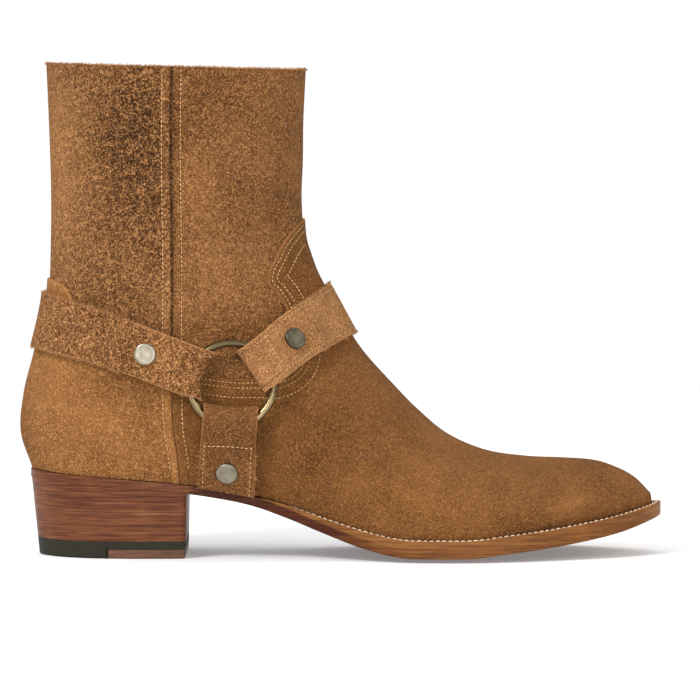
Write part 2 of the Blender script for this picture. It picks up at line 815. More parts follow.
@dataclass(frozen=True)
class Thread:
    """Waxed thread with a twist."""

    name: str
    dark: Colour
    light: Colour

    def make(self) -> bpy.types.Material:
        """Builds the material."""
        s = Shader(self.name)
        strands = s.noise(0.35, 2, 0.5)
        colour = s.ramp(strands * 0.5 + s.noise(14, 2) * 0.5, [(0.38, self.dark), (0.62, self.light)])
        return s.finish(colour, s.bump(strands, 0.08), Roughness=0.7, Specular_IOR_Level=0.3)


def piece_from(
    name: str,
    places: Array,
    faces: Iterable[Sequence[int]],
    materials: Sequence[bpy.types.Material],
    looks: Sequence[int] | Array | None = None,
    values: dict[str, Array] | None = None,
    smooth: bool = True,
    in_frame: bool = False,
) -> bpy.types.Object:
    """Makes an object from places in the boot's own millimetres.

    Args:
        name: Name of the piece.
        places: Places, one row each.
        faces: Corners of each face.
        materials: Its materials.
        looks: Which material each face takes.
        values: Numbers that the mesh carries, one for each place.
        smooth: Whether its faces are shaded smooth.
        in_frame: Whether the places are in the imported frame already.

    Returns:
        The object, whose place is in its mesh.
    """
    mesh = bpy.data.meshes.new(name)
    shift = 0.0 if in_frame else FRAME_SHIFT
    corners = [list(map(int, face)) for face in faces]
    mesh.from_pydata(((np.asarray(places) + shift) * MILLIMETRE).tolist(), [], corners)
    for material in materials:
        mesh.materials.append(material)
    if looks is not None:
        mesh.polygons.foreach_set("material_index", np.asarray(looks, np.int32))
    mesh.polygons.foreach_set("use_smooth", np.full(len(mesh.polygons), smooth))
    for key, numbers in (values or {}).items():
        mesh.attributes.new(key, "FLOAT", "POINT").data.foreach_set("value", np.asarray(numbers, np.float32))
    mesh.validate()
    mesh.update()
    piece = bpy.data.objects.new(name, mesh)
    bpy.context.scene.collection.objects.link(piece)
    return piece


def enclosed(places: Array, faces: Array) -> float:
    """Volume enclosed by triangles, below 0 where they face inwards."""
    a, b, c = (places[faces[:, k]] for k in range(3))
    return float(np.einsum("ij,ij->i", a, np.cross(b, c)).sum() / 6)


def triangles_of(faces: Array) -> Array:
    """Quads or triangles as triangles."""
    faces = np.asarray(faces)
    return faces if faces.shape[1] == 3 else np.concatenate([faces[:, [0, 1, 2]], faces[:, [0, 2, 3]]])


def outward(places: Array, faces: Array) -> Array:
    """Faces of a closed mesh, turned so that they face outwards."""
    return faces if enclosed(places, triangles_of(faces)) > 0 else faces[:, ::-1]


def grouped(places: Array, fineness: float) -> tuple[Array, Array]:
    """Groups places that are the same.

    Args:
        places: Places, one row each.
        fineness: Steps in a millimetre that tell two places apart.

    Returns:
        The first place of each group, and the group of each place.
    """
    cells = np.round(places * fineness).astype(np.int64)
    _, first, number = np.unique(cells, axis=0, return_index=True, return_inverse=True)
    return first, number.reshape(-1)


def merged(places: Array, faces: Array, values: dict[str, Array], looks: Array | None = None) -> tuple:
    """Joins equal places and drops faces that shrink to a line.

    Args:
        places: Places, one row each.
        faces: Quads or triangles.
        values: Numbers for each place.
        looks: Material of each face.

    Returns:
        The places, faces, values and looks that are left.
    """
    first, number = grouped(places, 2000)
    out, kept = [], []
    for k, f in enumerate(number[faces].tolist()):
        f = [v for i, v in enumerate(f) if v != f[i - 1]]
        if len(set(f)) == len(f) >= 3:
            out.append(f)
            kept.append(k)
    looks = None if looks is None else looks[kept]
    return places[first], out, {k: v[first] for k, v in values.items()}, looks


def loft(rings: Array, closed: bool = True, looped: bool = False) -> Array:
    """Quads between rings of places.

    Args:
        rings: Places with the shape (rings, places in a ring, 3).
        closed: Whether each ring is closed on itself.
        looped: Whether the last ring joins the first.

    Returns:
        Corners of the quads.
    """
    count, size = rings.shape[:2]
    i = np.arange(count if looped else count - 1)[:, None]
    j = np.arange(size if closed else size - 1)[None, :]
    n, m = (i + 1) % count, (j + 1) % size
    quads = np.stack(np.broadcast_arrays(i * size + j, i * size + m, n * size + m, n * size + j), axis=-1)
    return quads.reshape(-1, 4)


def capped(rings: Array) -> tuple[Array, list[list[int]]]:
    """A closed solid from rings, with one face over each end.

    Args:
        rings: Places with the shape (rings, places in a ring, 3).

    Returns:
        Its places, and its faces turned outwards.
    """
    count, size = rings.shape[:2]
    places, quads = rings.reshape(-1, 3), loft(rings)
    faces = outward(places, quads)
    first, last = list(range(size)), list(range((count - 1) * size, count * size))
    if faces is quads:
        first.reverse()
    else:
        last.reverse()
    return places, [*map(list, faces), first, last]


class Outline:
    """A closed outline in the side view, with its signed distance: above 0 inside it."""

    def __init__(self, points: Array) -> None:
        """Keeps the outline's corners.

        Args:
            points: Places (x, z) in order.
        """
        self.points = np.asarray(points, float)

    def __call__(self, x: Array, z: Array) -> Array:
        """Signed distance of places from the outline, in millimetres."""
        a, b = self.points, np.roll(self.points, -1, axis=0)
        near, inside = np.full(x.shape, 1e9), np.zeros(x.shape, bool)
        for (ax, az), (bx, bz) in zip(a, b):
            dx, dz = bx - ax, bz - az
            t = np.clip(((x - ax) * dx + (z - az) * dz) / max(dx * dx + dz * dz, 1e-12), 0, 1)
            near = np.minimum(near, np.hypot(x - ax - t * dx, z - az - t * dz))
            if dz != 0:
                crosses = (az > z) != (bz > z)
                inside ^= crosses & (x < ax + (z - az) * dx / dz)
        return np.where(inside, near, -near)


class Patch:
    """Triangles on the last, held as sections and turns, so that they can be cut exactly along a line."""

    SNAP = 0.03  # a corner nearer to a line than this is taken to be on it

    def __init__(self, last: Last, rows: Array, turns: Array) -> None:
        """Starts a grid of triangles.

        Args:
            last: The form under the patch.
            rows: Sections of the grid's lines.
            turns: Places round a section, from 0 at the outer feather through pi at the ridge to 2 pi.
        """
        self.last = last
        grid_row, grid_turn = np.meshgrid(rows, turns, indexing="ij")
        self.row, self.turn = grid_row.ravel(), grid_turn.ravel()
        i, j = np.meshgrid(np.arange(len(rows) - 1), np.arange(len(turns) - 1), indexing="ij")
        a = (i * len(turns) + j).ravel()
        b, c, d = a + 1, a + len(turns) + 1, a + len(turns)
        self.faces = np.concatenate([np.stack([a, b, c], 1), np.stack([a, c, d], 1)])
        self.x, self.z = self._side_view(self.row, self.turn)

    @property
    def side(self) -> Array:
        """Side of each place."""
        return np.where(self.turn <= math.pi, -1, 1)

    @property
    def angle(self) -> Array:
        """Angle of each place on its side."""
        return np.where(self.turn <= math.pi, self.turn, 2 * math.pi - self.turn)

    def _side_view(self, row: Array, turn: Array) -> tuple[Array, Array]:
        """x and z of places on the bare skin."""
        side = np.where(turn <= math.pi, -1, 1)
        p = self.last.skin(row, np.where(turn <= math.pi, turn, 2 * math.pi - turn), side, 0.0)
        return p[:, 0], p[:, 2]

    def split(self, measure: Callable[[Array, Array], Array], levels: Iterable[float]) -> Patch:
        """Adds a line of corners wherever the measure has one of the levels.

        Args:
            measure: A distance as a function of the side view's x and z.
            levels: Distances at which the triangles are cut.

        Returns:
            The patch itself.
        """
        for level in levels:
            value = measure(self.x, self.z) - level
            value[np.abs(value) < self.SNAP] = 0.0
            sign = np.sign(value)
            corners = sign[self.faces]
            cut = (corners.min(1) < 0) & (corners.max(1) > 0)
            base, known, rows, turns, faces = len(self.row), {}, [], [], []
            for face in self.faces[cut].tolist():
                ring = []
                for i in range(3):
                    a, b = face[i], face[(i + 1) % 3]
                    ring.append(a)
                    if sign[a] * sign[b] < 0:
                        key = (min(a, b), max(a, b))
                        if key not in known:
                            t = value[a] / (value[a] - value[b])
                            known[key] = base + len(rows)
                            rows.append(mix(self.row[a], self.row[b], t))
                            turns.append(mix(self.turn[a], self.turn[b], t))
                        ring.append(known[key])
                for way in (1, -1):
                    part = [v for v in ring if v >= base or sign[v] * way >= 0]
                    faces += [[part[0], part[k], part[k + 1]] for k in range(1, len(part) - 1)]
            if faces:
                rows, turns = np.array(rows), np.array(turns)
                x, z = self._side_view(rows, turns)
                self.row, self.turn = np.concatenate([self.row, rows]), np.concatenate([self.turn, turns])
                self.x, self.z = np.concatenate([self.x, x]), np.concatenate([self.z, z])
                self.faces = np.concatenate([self.faces[~cut], np.array(faces)])
        return self

    def keep(self, measure: Callable[[Array, Array], Array]) -> Patch:
        """Keeps the triangles whose middles have the measure above 0.

        Args:
            measure: A distance as a function of the side view's x and z.

        Returns:
            The patch itself.
        """
        x, z = (v[self.faces].mean(axis=1) for v in (self.x, self.z))
        self.faces = self.faces[measure(x, z) > 0]
        used = np.unique(self.faces)
        number = np.full(len(self.row), -1)
        number[used] = np.arange(len(used))
        self.faces = number[self.faces]
        self._pick(used)
        return self

    def _pick(self, corners: Array) -> None:
        """Keeps some of the corners."""
        self.row, self.turn, self.x, self.z = (v[corners] for v in (self.row, self.turn, self.x, self.z))

    def weld(self) -> Patch:
        """Joins the places where the two sides meet."""
        first, number = grouped(self.places(0.0), 500)
        faces = number[self.faces]
        self.faces = faces[(faces != np.roll(faces, -1, axis=1)).all(axis=1)]
        self._pick(first)
        return self

    def places(self, inset: Array | float) -> Array:
        """Places of the patch's corners, moved in by the inset."""
        return self.last.skin(self.row, self.angle, self.side, inset)

    def borders(self) -> Array:
        """Border edges, each in the direction in which its triangle runs."""
        edges = np.concatenate([self.faces[:, [0, 1]], self.faces[:, [1, 2]], self.faces[:, [2, 0]]])
        key = np.sort(edges, axis=1)
        _, first, count = np.unique(key, axis=0, return_index=True, return_counts=True)
        return edges[first[count == 1]]

    def shell(self, outer: Array, inner: Array, rim: Sequence[Array] = ()) -> tuple[Array, Array]:
        """Closes two sheets of the patch into one thin solid.

        Args:
            outer: Places of the outer sheet.
            inner: Places of the inner sheet.
            rim: More places for the rim, from the outer sheet to the inner one.

        Returns:
            Places, and triangles that face outwards.
        """
        count, edges = len(outer), self.borders()
        layers = [outer, *rim, inner]
        last_layer = len(layers) - 1
        faces = [self.faces, self.faces[:, ::-1] + last_layer * count]
        for k in range(last_layer):
            a, b = edges[:, 0] + k * count, edges[:, 1] + k * count
            faces += [np.stack([b, a, a + count], 1), np.stack([b, a + count, b + count], 1)]
        places = np.concatenate(layers)
        return places, outward(places, np.concatenate(faces))


@dataclass
class Upper:
    """The suede upper: shaft, vamp with its wing, heel counter and lining."""

    last: Last
    wall: float = 2.4
    lap: float = 1.2
    seam_depth: float = 1.0
    strip_rise: float = 0.42
    groove_width: float = 0.42
    rows: int = 215
    turns: int = 150
    stitch_rows: tuple[float, ...] = (1.7, 4.0, 8.4)
    seam_rows: tuple[float, float] = (-4.4, 4.3)
    measure_middle: float = 10.0

    # shares of the shaft's front and height
    WING = (
        *((1.3, 0.68), (1.02, 0.632), (0.964, 0.594), (0.925, 0.556), (0.899, 0.519), (0.877, 0.482)),
        *((0.879, 0.46), (0.904, 0.441), (0.926, 0.419), (0.955, 0.382), (0.983, 0.345), (0.992, 0.3)),
        *((0.98, 0.258), (0.905, 0.226), (0.853, 0.228), (0.752, 0.229), (0.679, 0.236), (0.549, 0.248)),
    )
    SEAM = (
        *((0.555, 1.2), (0.545, 0.787), (0.548, 0.5), (0.547, 0.193), (0.55, 0.105), (0.564, 0.041)),
        (0.585, -0.2),
    )
    COUNTER = (
        *((-0.4, 0.5), (0.111, 0.471), (0.136, 0.465), (0.158, 0.458), (0.175, 0.449), (0.186, 0.436)),
        *((0.21, 0.4), (0.39, 0.32), (0.54, 0.27)),
    )
    SEAM_CUTS = (-4.9, -4.2, -1.1, -0.55, -0.25, 0.25, 0.55)  # distances from the seam that a patch is cut at
    SPOTS = (  # x, z, reach in x and z, and how much lighter the suede is there
        *((36, 150, 44, 90, 0.1), (56, 182, 17, 34, -0.34), (60, 214, 18, 16, -0.06), (48, 128, 20, 14, -0.07)),
        *((18, 185, 15, 54, 0.42), (108, 172, 15, 8, -0.09), (96, 130, 18, 26, 0.09), (105, 200, 30, 22, -0.04)),
        *((120, 205, 12, 20, 0.03), (34, 66, 16, 11, 0.14), (52, 82, 14, 8, -0.08), (60, 52, 14, 12, -0.04)),
        *((250, 22.5, 5, 2.5, 0.14), (256, 25, 5, 2.5, 0.2), (263, 27.5, 6, 2.5, 0.2), (240, 50, 22, 6, 0.12)),
        *((205, 55, 14, 10, 0.08), (232, 33, 16, 6, -0.07), (272, 14, 14, 5, -0.1), (225, 18, 30, 7, -0.07)),
        *((185, 40, 30, 26, 0.05), (212, 44, 26, 8, 0.03), (150, 60, 12, 20, -0.03), (285, 22, 12, 6, -0.05)),
        *((130, 139, 8, 14, -0.13), (116, 158, 12, 7, -0.08), (84, 108, 9, 20, -0.06), (120, 186, 9, 10, 0.07)),
    )

    def __post_init__(self) -> None:
        """Draws the panels' outlines in the side view."""
        on_side = self.last.on_side
        seam = np.array([on_side(*p) for p in self.SEAM])[::-1]
        self._seam_x = Curve(seam[:, 1], seam[:, 0])
        self.wing_line = smooth_line([on_side(*p) for p in self.WING], 6)
        self.counter_line = smooth_line([on_side(*p) for p in self.COUNTER], 5)
        low, behind, ahead = -60.0, -100.0, 400.0
        (top_z, end_z), half_gap = self.wing_line[[0, -1], 1], 0.12
        down = np.linspace(end_z, -30, 24)
        vamp_side, counter_side = (np.stack([self._seam_x(down) + d, down], 1) for d in (half_gap, -half_gap))
        around = [(ahead, low), (ahead, top_z)]
        self.vamp = Outline(np.concatenate([self.wing_line, vamp_side, around]))
        around = [(behind, low), (behind, self.counter_line[0, 1])]
        self.counter = Outline(np.concatenate([self.counter_line[:-1], counter_side, around]))
        around = [(2 * behind, end_z), (2 * behind, low), (ahead, low), (ahead, top_z)]
        self.wing = Outline(np.concatenate([self.wing_line, around]))

    def seam(self, x: Array, z: Array) -> Array:
        """Distance in front of the side seam."""
        return x - self._seam_x(z)

    def _grid(self, share: float = 1.0) -> Patch:
        """A grid over the whole upper, with a few close sections at the collar.

        Args:
            share: How fine the grid is.

        Returns:
            The grid as a patch.
        """
        corner, tip, collar = self.last.heel_corner, self.last.toe_tip, 0.12
        shaft = np.linspace(collar, corner, int(self.rows * 0.42 * share))
        foot = np.linspace(corner, tip, int(self.rows * 0.58 * share))
        rows = np.concatenate([np.linspace(0, collar, 4)[:-1], shaft, foot[1:]])
        half = np.linspace(0, math.pi, int(self.turns * share / 2) + 1)
        return Patch(self.last, rows, np.concatenate([half, math.pi + half[1:]]))

    def _lines(self, patch: Patch) -> Patch:
        """Cuts the seam's groove and strip into a patch."""
        return patch.split(self.seam, self.SEAM_CUTS)

    def _below_wing(self, z: Array) -> Array:
        """1 below the wing, where the seam's groove is softer, and 0 above."""
        return ease((self.wing_line[-1, 1] - z) / 2)

    def _relief(self, patch: Patch) -> Array:
        """Height of the seam's groove and of the strip behind it."""
        f = self.seam(patch.x, patch.z)
        depth = self.seam_depth * (1 - 0.6 * self._below_wing(patch.z))
        return self._strip(f) - depth * np.exp(-((f / self.groove_width) ** 2))

    def _strip(self, f: Array) -> Array:
        """Height of the strip, by the distance in front of the seam."""
        return self.strip_rise * ease((f + 5.0) / 0.9) * ease((-0.35 - f) / 0.8)

    def _tone(self, x: Array, z: Array) -> Array:
        """Lighter and darker places of the upper, by hand.

        Args:
            x: Places in the side view.
            z: Their heights.

        Returns:
            How much lighter each place is.
        """
        tone = np.zeros_like(x)
        for cx, cz, rx, rz, value in self.SPOTS:
            tone += value * np.exp(-(((x - cx) / rx) ** 2) - ((z - cz) / rz) ** 2)
        f = self.seam(x, z)
        tone += 0.22 * ease((f + 4.6) / 0.8) * ease((-0.5 - f) / 0.5)
        tone -= 0.55 * (1 - 0.6 * self._below_wing(z)) * np.exp(-((f / 0.6) ** 2))
        return tone - 0.12 * ease(1 - (z - self.last.feather_z(x)) / 4.0)

    def _values(self, patch: Patch, edge: Array, nap: Array, copies: int) -> dict[str, Array]:
        """The numbers that a panel's finish reads, repeated for each layer of its mesh."""
        seam = np.clip(self.seam(patch.x, patch.z) + self.measure_middle, 0, 20)
        wing = np.clip(self.wing(patch.x, patch.z), 0, 30)
        values = {"edge": np.clip(edge, 0, 30), "seam": seam, "wing": wing, "nap": nap}
        values["tone"] = self._tone(patch.x, patch.z)
        return {k: np.tile(np.broadcast_to(v, patch.x.shape), copies) for k, v in values.items()}

    def shaft(self, materials: Sequence[bpy.types.Material]) -> bpy.types.Object:
        """The whole upper under its lapped panels, with a rounded collar edge.

        Args:
            materials: Suede, then the raw edge.

        Returns:
            The piece.
        """
        patch = self._lines(self._grid()).weld()
        thick = self.wall - 1.1
        outer, inner = patch.places(-self._relief(patch)), patch.places(thick)
        rims = []
        at_collar = (patch.row < 1e-6)[:, None]
        ragged = sum(np.sin(patch.angle * k + k) for k in (23.0, 57.0, 97.0))[:, None] * 0.07
        for turn in (0.3, 0.7, 1.1):
            rim = patch.places(thick * (1 - math.cos(turn * math.pi / 1.4)) / 2)
            rise = at_collar * (0.55 * math.sin(turn * math.pi / 1.4) + ragged)
            rims.append(rim + rise * np.array([0, 0, 1.0]))
        places, faces = patch.shell(outer, inner, rims)
        drop = (self.last.seat_z + self.last.shaft_height) - patch.z
        behind = ease((0.4 - self.seam(patch.x, patch.z)) / 0.8)
        values = self._values(patch, drop * 1.4 + 0.15, 0.4 + 0.6 * behind, 5)
        return piece_from("shaft", places, faces, materials, values=values)

    def _panel(self, name: str, outline: Outline, nap: float, material: bpy.types.Material) -> bpy.types.Object:
        """A lapped panel, cut exactly along its outline, with a rounded cut edge."""
        patch = self._lines(self._grid().split(outline, (0.0,)).keep(outline))
        patch.split(outline, (0.12, 0.4, 0.9, *self.stitch_rows[:2])).weld()
        f = np.maximum(outline(patch.x, patch.z), 0)
        roll = np.sqrt(np.clip(1 - (1 - np.clip(f / 0.7, 0, 1)) ** 2, 0, 1))
        height = self.lap * (0.35 + 0.65 * roll) + np.where(f > 0.3, self._relief(patch), 0.0) * 0.8
        places, faces = patch.shell(patch.places(-height), patch.places(0.35))
        return piece_from(name, places, faces, [material], values=self._values(patch, f, nap, 2))

    def vamp_panel(self, material: bpy.types.Material) -> bpy.types.Object:
        """The vamp, whose wing climbs the front of the ankle."""
        return self._panel("vamp_panel", self.vamp, 0.32, material)

    def counter_panel(self, material: bpy.types.Material) -> bpy.types.Object:
        """The panel round the heel."""
        return self._panel("heel_counter", self.counter, 0.5, material)

    def lining(self, materials: Sequence[bpy.types.Material]) -> bpy.types.Object:
        """The leather lining of the whole inside.

        Args:
            materials: The lining's leather.

        Returns:
            The piece.
        """
        patch = self._grid(0.62).weld()
        outer, inner = patch.places(self.wall - 1.1), patch.places(self.wall)
        rim = patch.places(self.wall - 0.55) + (patch.row < 1e-6)[:, None] * np.array([0, 0, 0.35])
        places, faces = patch.shell(outer, inner, [rim])
        return piece_from("lining", places, faces, materials)

    def guides(self) -> list[tuple[str, Array, Array]]:
        """Courses of the stitch rows on the upper.

        Returns:
            For each row its kind, its places and the directions that it faces.
        """
        out = []
        for side in Side:
            for offset in self.seam_rows:
                top = self.last.seat_z + self.last.shaft_height * 0.985
                z = np.linspace(top, self.last.seat_z + 2.5, 160)
                out.append(("seam", *self._on_skin(self._seam_x(z) + offset, z, side)))
            for offset in self.stitch_rows:
                out.append(("wing", *self._on_skin(*self._inside_wing(offset).T, side)))
        return out

    def raw_edges(self) -> list[tuple[str, Array, Array]]:
        """Courses of the cut edges whose fibres stand out: the collar, the wing and the counter's tab.

        Returns:
            For each edge its kind, its places and the directions that it faces.
        """
        out, up = [], np.array([0.0, 0.0, 1.0])
        for side in Side:
            angle = np.linspace(0.02, math.pi - 0.02, 160)
            for inset in (0.05, 0.75):
                row = np.full(angle.shape, 1e-3)
                places = self.last.skin(row, angle, int(side), inset) + up * 0.35
                normal = self.last.normal(row, angle, int(side), inset)
                out.append(("collar", places, unit(normal * (0.5 - inset) + up * 0.8)))
            tab = self.counter_line[self.counter_line[:, 0] < self._seam_x(self.counter_line[:, 1])]
            for line in (self._inside_wing(0.15), tab):
                out.append(("panel", *self._on_skin(*line[line[:, 0] > 16.0].T, side)))
        return out

    def _inside_wing(self, offset: float) -> Array:
        """The wing's line moved inside it, where it is clear of the seam and of the ridge.

        Args:
            offset: How far the line is moved.

        Returns:
            Places (x, z) in order.
        """
        line = self.wing_line
        step = np.gradient(line, axis=0)
        square = unit(np.stack([-step[:, 1], step[:, 0]], axis=1))
        left, right = line + square * offset, line - square * offset
        moved = np.where((self.vamp(*left.T) > self.vamp(*right.T))[:, None], left, right)
        clear = (self.vamp(*moved.T) > offset - 0.25) & (moved[:, 0] > self._seam_x(moved[:, 1]) + 4.5)
        moved = moved[clear]
        front_x, front_z = self.last.front_point(np.linspace(3, 9, 200), 0.0)
        return moved[moved[:, 0] < np.interp(moved[:, 1], front_z[::-1], front_x[::-1]) - 0.6]

    def _on_skin(self, x: Array, z: Array, side: Side) -> tuple[Array, Array]:
        """Places on the panels' outer face, with the directions that they face.

        Args:
            x: Places in the side view.
            z: Their heights.
            side: The side of the boot.

        Returns:
            The places and the directions.
        """
        row, angle = self.last.locate(x, z, np.full(x.shape, int(side)), 0.0)
        panel = np.maximum(self.vamp(x, z), self.counter(x, z))
        height = np.where(panel > 0, self.lap * np.clip(0.35 + panel, 0, 1), 0.0) + self._strip(self.seam(x, z))
        places = self.last.skin(row, angle, int(side), -height)
        return places, self.last.normal(row, np.maximum(angle, 0.3), int(side), -height)


@dataclass
class Sole:
    """The outsole, the welt round the forefoot, and the insole."""

    last: Last
    welt_seat: float = 5.0
    welt_from: float = 10 / 30  # share of the foot's sections behind the welt
    edge_lift: float = 2.0
    edge_width: float = 20.0
    heel_length: float = 74.1
    wall: float = 2.4
    insole: float = 2.2
    insole_play: float = 1.1
    round: float = 0.5
    welt_round: float = 0.45
    stitch_in: float = 1.9

    BENDS = np.radians([0, 30, 60, 90])  # places round a rounded edge

    def _turns(self, start: float = 0.0, count: int = 190) -> Array:
        """Turns of the plan from a share of the foot's sections to the toe tip."""
        rows = mix(self.last.heel_corner, self.last.toe_tip, start + (1 - start) * np.linspace(0, 1, count))
        return self.last._turn(rows)

    def _round_toe(self, start: float, count: int = 190) -> tuple[Array, Array]:
        """Turns of the plan round the toe from one side to the other, and their sides."""
        turns = self._turns(start, count)
        sides = np.concatenate([np.full(len(turns), -1), np.full(len(turns) - 1, 1)])
        return np.concatenate([turns, turns[:-1][::-1]]), sides

    def _slab(
        self,
        out: Array,
        turns: Array,
        top: Callable[[Array, Array], Array],
        bottom: Callable[[Array, Array], Array],
        low: Array | float,
        high: float | None = None,
        inner: int = 14,
    ) -> Array:
        """Rings across the foot between two heights, with rounded edges.

        Args:
            out: How far the edge stands out from the upper, at each turn.
            turns: Turns of the plan.
            top: Height of the top, by x and by the distance from the edge.
            bottom: Height of the bottom, by the same.
            low: Radius of the lower edge.
            high: Radius of the upper edge, where it isn't the same.
            inner: Places across the top, and across the bottom.

        Returns:
            One closed ring for each turn.
        """
        high, deep = low if high is None else high, low + 0.5
        a, b = (np.stack(self.last.plan(turns, int(side), out - deep), -1) for side in Side)
        shares = (1 - np.cos(np.linspace(0, math.pi, inner))) / 2

        def across(height: Callable[[Array, Array], Array], order: Array) -> list[tuple[Array, Array]]:
            """Places across the foot, at shares of its width."""
            middles = [(mix(a, b, t), np.minimum(t, 1 - t) * np.abs(b - a)[:, 1] + deep) for t in order]
            return [(p, height(p[:, 0], inward)) for p, inward in middles]

        def edge(side: int, upper: bool, order: Array) -> list[tuple[Array, Array]]:
            """Places round one edge, at turns of its bend."""
            radius, height, way = (high, top, -1) if upper else (low, bottom, 1)
            places = []
            for bend in order:
                inward, drop = radius * (1 - math.cos(bend)), radius * (1 - math.sin(bend))
                p = np.stack(self.last.plan(turns, side, out - inward), -1)
                places.append((p, height(p[:, 0], inward) + way * drop))
            return places

        back = self.BENDS[::-1]
        rings = [*across(top, shares), *edge(1, True, back), *edge(1, False, self.BENDS)]
        rings += [*across(bottom, shares[::-1]), *edge(-1, False, back), *edge(-1, True, self.BENDS)]
        return np.stack([np.concatenate([p, z[:, None]], axis=1) for p, z in rings], axis=1)

    def _closed(
        self,
        name: str,
        rings: Array,
        materials: Sequence[bpy.types.Material],
        values: dict[str, Array] | None = None,
        second: Callable[[Array], Array] | None = None,
    ) -> bpy.types.Object:
        """A piece from rings that shrink to a line at both ends.

        Args:
            name: Name of the piece.
            rings: Its rings.
            materials: Its materials.
            values: Numbers that the mesh carries.
            second: Which faces take the second material, by their middles.

        Returns:
            The piece.
        """
        places, faces = rings.reshape(-1, 3), loft(rings)
        faces = outward(places, faces)
        looks = None if second is None else second(places[faces].mean(axis=1)).astype(int)
        numbers = {k: v.reshape(-1) for k, v in (values or {}).items()}
        places, faces, numbers, looks = merged(places, faces, numbers, looks)
        return piece_from(name, places, faces, materials, looks, numbers)

    def outsole_piece(self, materials: Sequence[bpy.types.Material]) -> bpy.types.Object:
        """The leather outsole, bevelled under its edge, and stained like the heel above the heel.

        Args:
            materials: The sole's leather, then the heel's.

        Returns:
            The piece.
        """
        turns = self._turns()
        out = self.last.margin(turns)
        front = self.last.sole_back + self.heel_length

        def bottom(x: Array, edge: Array) -> Array:
            """Height of the underside, which rises towards its edge in front of the heel."""
            share = ease((x - front) / self.heel_length)
            return self.last.underside(x) + self.edge_lift * np.clip(1 - edge / self.edge_width, 0, 1) * share

        ahead = ease((self.last.plan(turns, 1, out)[0] - front + 1) / 3)
        low = mix(0.06, self.round, ahead)
        rings = self._slab(out, turns, lambda x, e: self.last.outsole_top(x), bottom, low, high=0.05)
        x, z = rings[..., 0], rings[..., 2]
        middle = (self.last.underside(x) + self.last.outsole_top(x)) / 2
        waist = ease((x - 78) / 6) * ease((190 - x) / 60)
        tone = -0.17 * waist + 0.03 * ease((x - 180) / 60)
        values = {"tone": tone, "joint": np.abs(z - middle) + 1.0}
        return self._closed("outsole_layer", rings, materials, values, lambda p: p[:, 0] < front)

    def welt_piece(self, material: bpy.types.Material) -> bpy.types.Object:
        """The welt, with a groove for its stitches.

        Args:
            material: The sole's leather.

        Returns:
            The piece.
        """
        turns, sides = self._round_toe(self.welt_from)
        margin, r, seam = self.last.margin(turns), self.welt_round, self.stitch_in
        groove = [(seam - 0.55, 0.0), (seam - 0.25, -0.28), (seam + 0.25, -0.28), (seam + 0.55, 0.0)]
        upper = [(0.0, -0.45), (0.13, -0.13), (r, 0.0), *groove, (4.2, 0.0), (9.5, 0.0)]
        profile = [(0.0, 0.04, 0), *[(*p, 1) for p in upper], (9.5, 0.0, 0), (r, 0.0, 0), (0.04, 0.0, 0)]
        rings = []
        for inward, rise, on_top in profile:
            x, y = self.last.plan(turns, sides, margin - inward)
            base = self.last.outsole_top(x) + 0.02
            top = np.maximum(self.last.welt_top(x), base + 0.3)
            share = np.clip((top - base) / 2.0, 0.1, 1.0)
            rings.append(np.stack([x, y, (top if on_top else base) + rise * share], -1))
        places, faces = capped(np.stack(rings, axis=1))
        values = {"tone": np.full(len(places), 0.06), "joint": np.ones(len(places))}
        return piece_from("welt_strip", places, faces, [material], values=values)

    def sock(self, material: bpy.types.Material) -> bpy.types.Object:
        """The insole inside the boot, slightly dished.

        Args:
            material: Its leather.

        Returns:
            The piece.
        """
        turns = self._turns(0.0, 110)
        out = np.full(turns.shape, -(self.wall + self.insole_play))
        top = lambda x, e: self.last.feather_z(x) + self.insole - 0.35 * ease(e / 14)
        rings = self._slab(out, turns, top, lambda x, e: self.last.feather_z(x), 0.4, inner=12)
        return self._closed("sock", rings, [material])

    def guides(self) -> list[tuple[str, Array, Array]]:
        """Courses of the stitch rows on the welt, as kinds, places and directions."""
        turns, sides = self._round_toe(self.welt_from + 0.03, 260)
        x, y = self.last.plan(turns, sides, self.last.margin(turns) - self.stitch_in)
        places = np.stack([x, y, self.last.welt_top(x) - 0.12], -1)
        return [("welt", places, np.broadcast_to(np.array([0.0, 0.0, 1.0]), places.shape))]


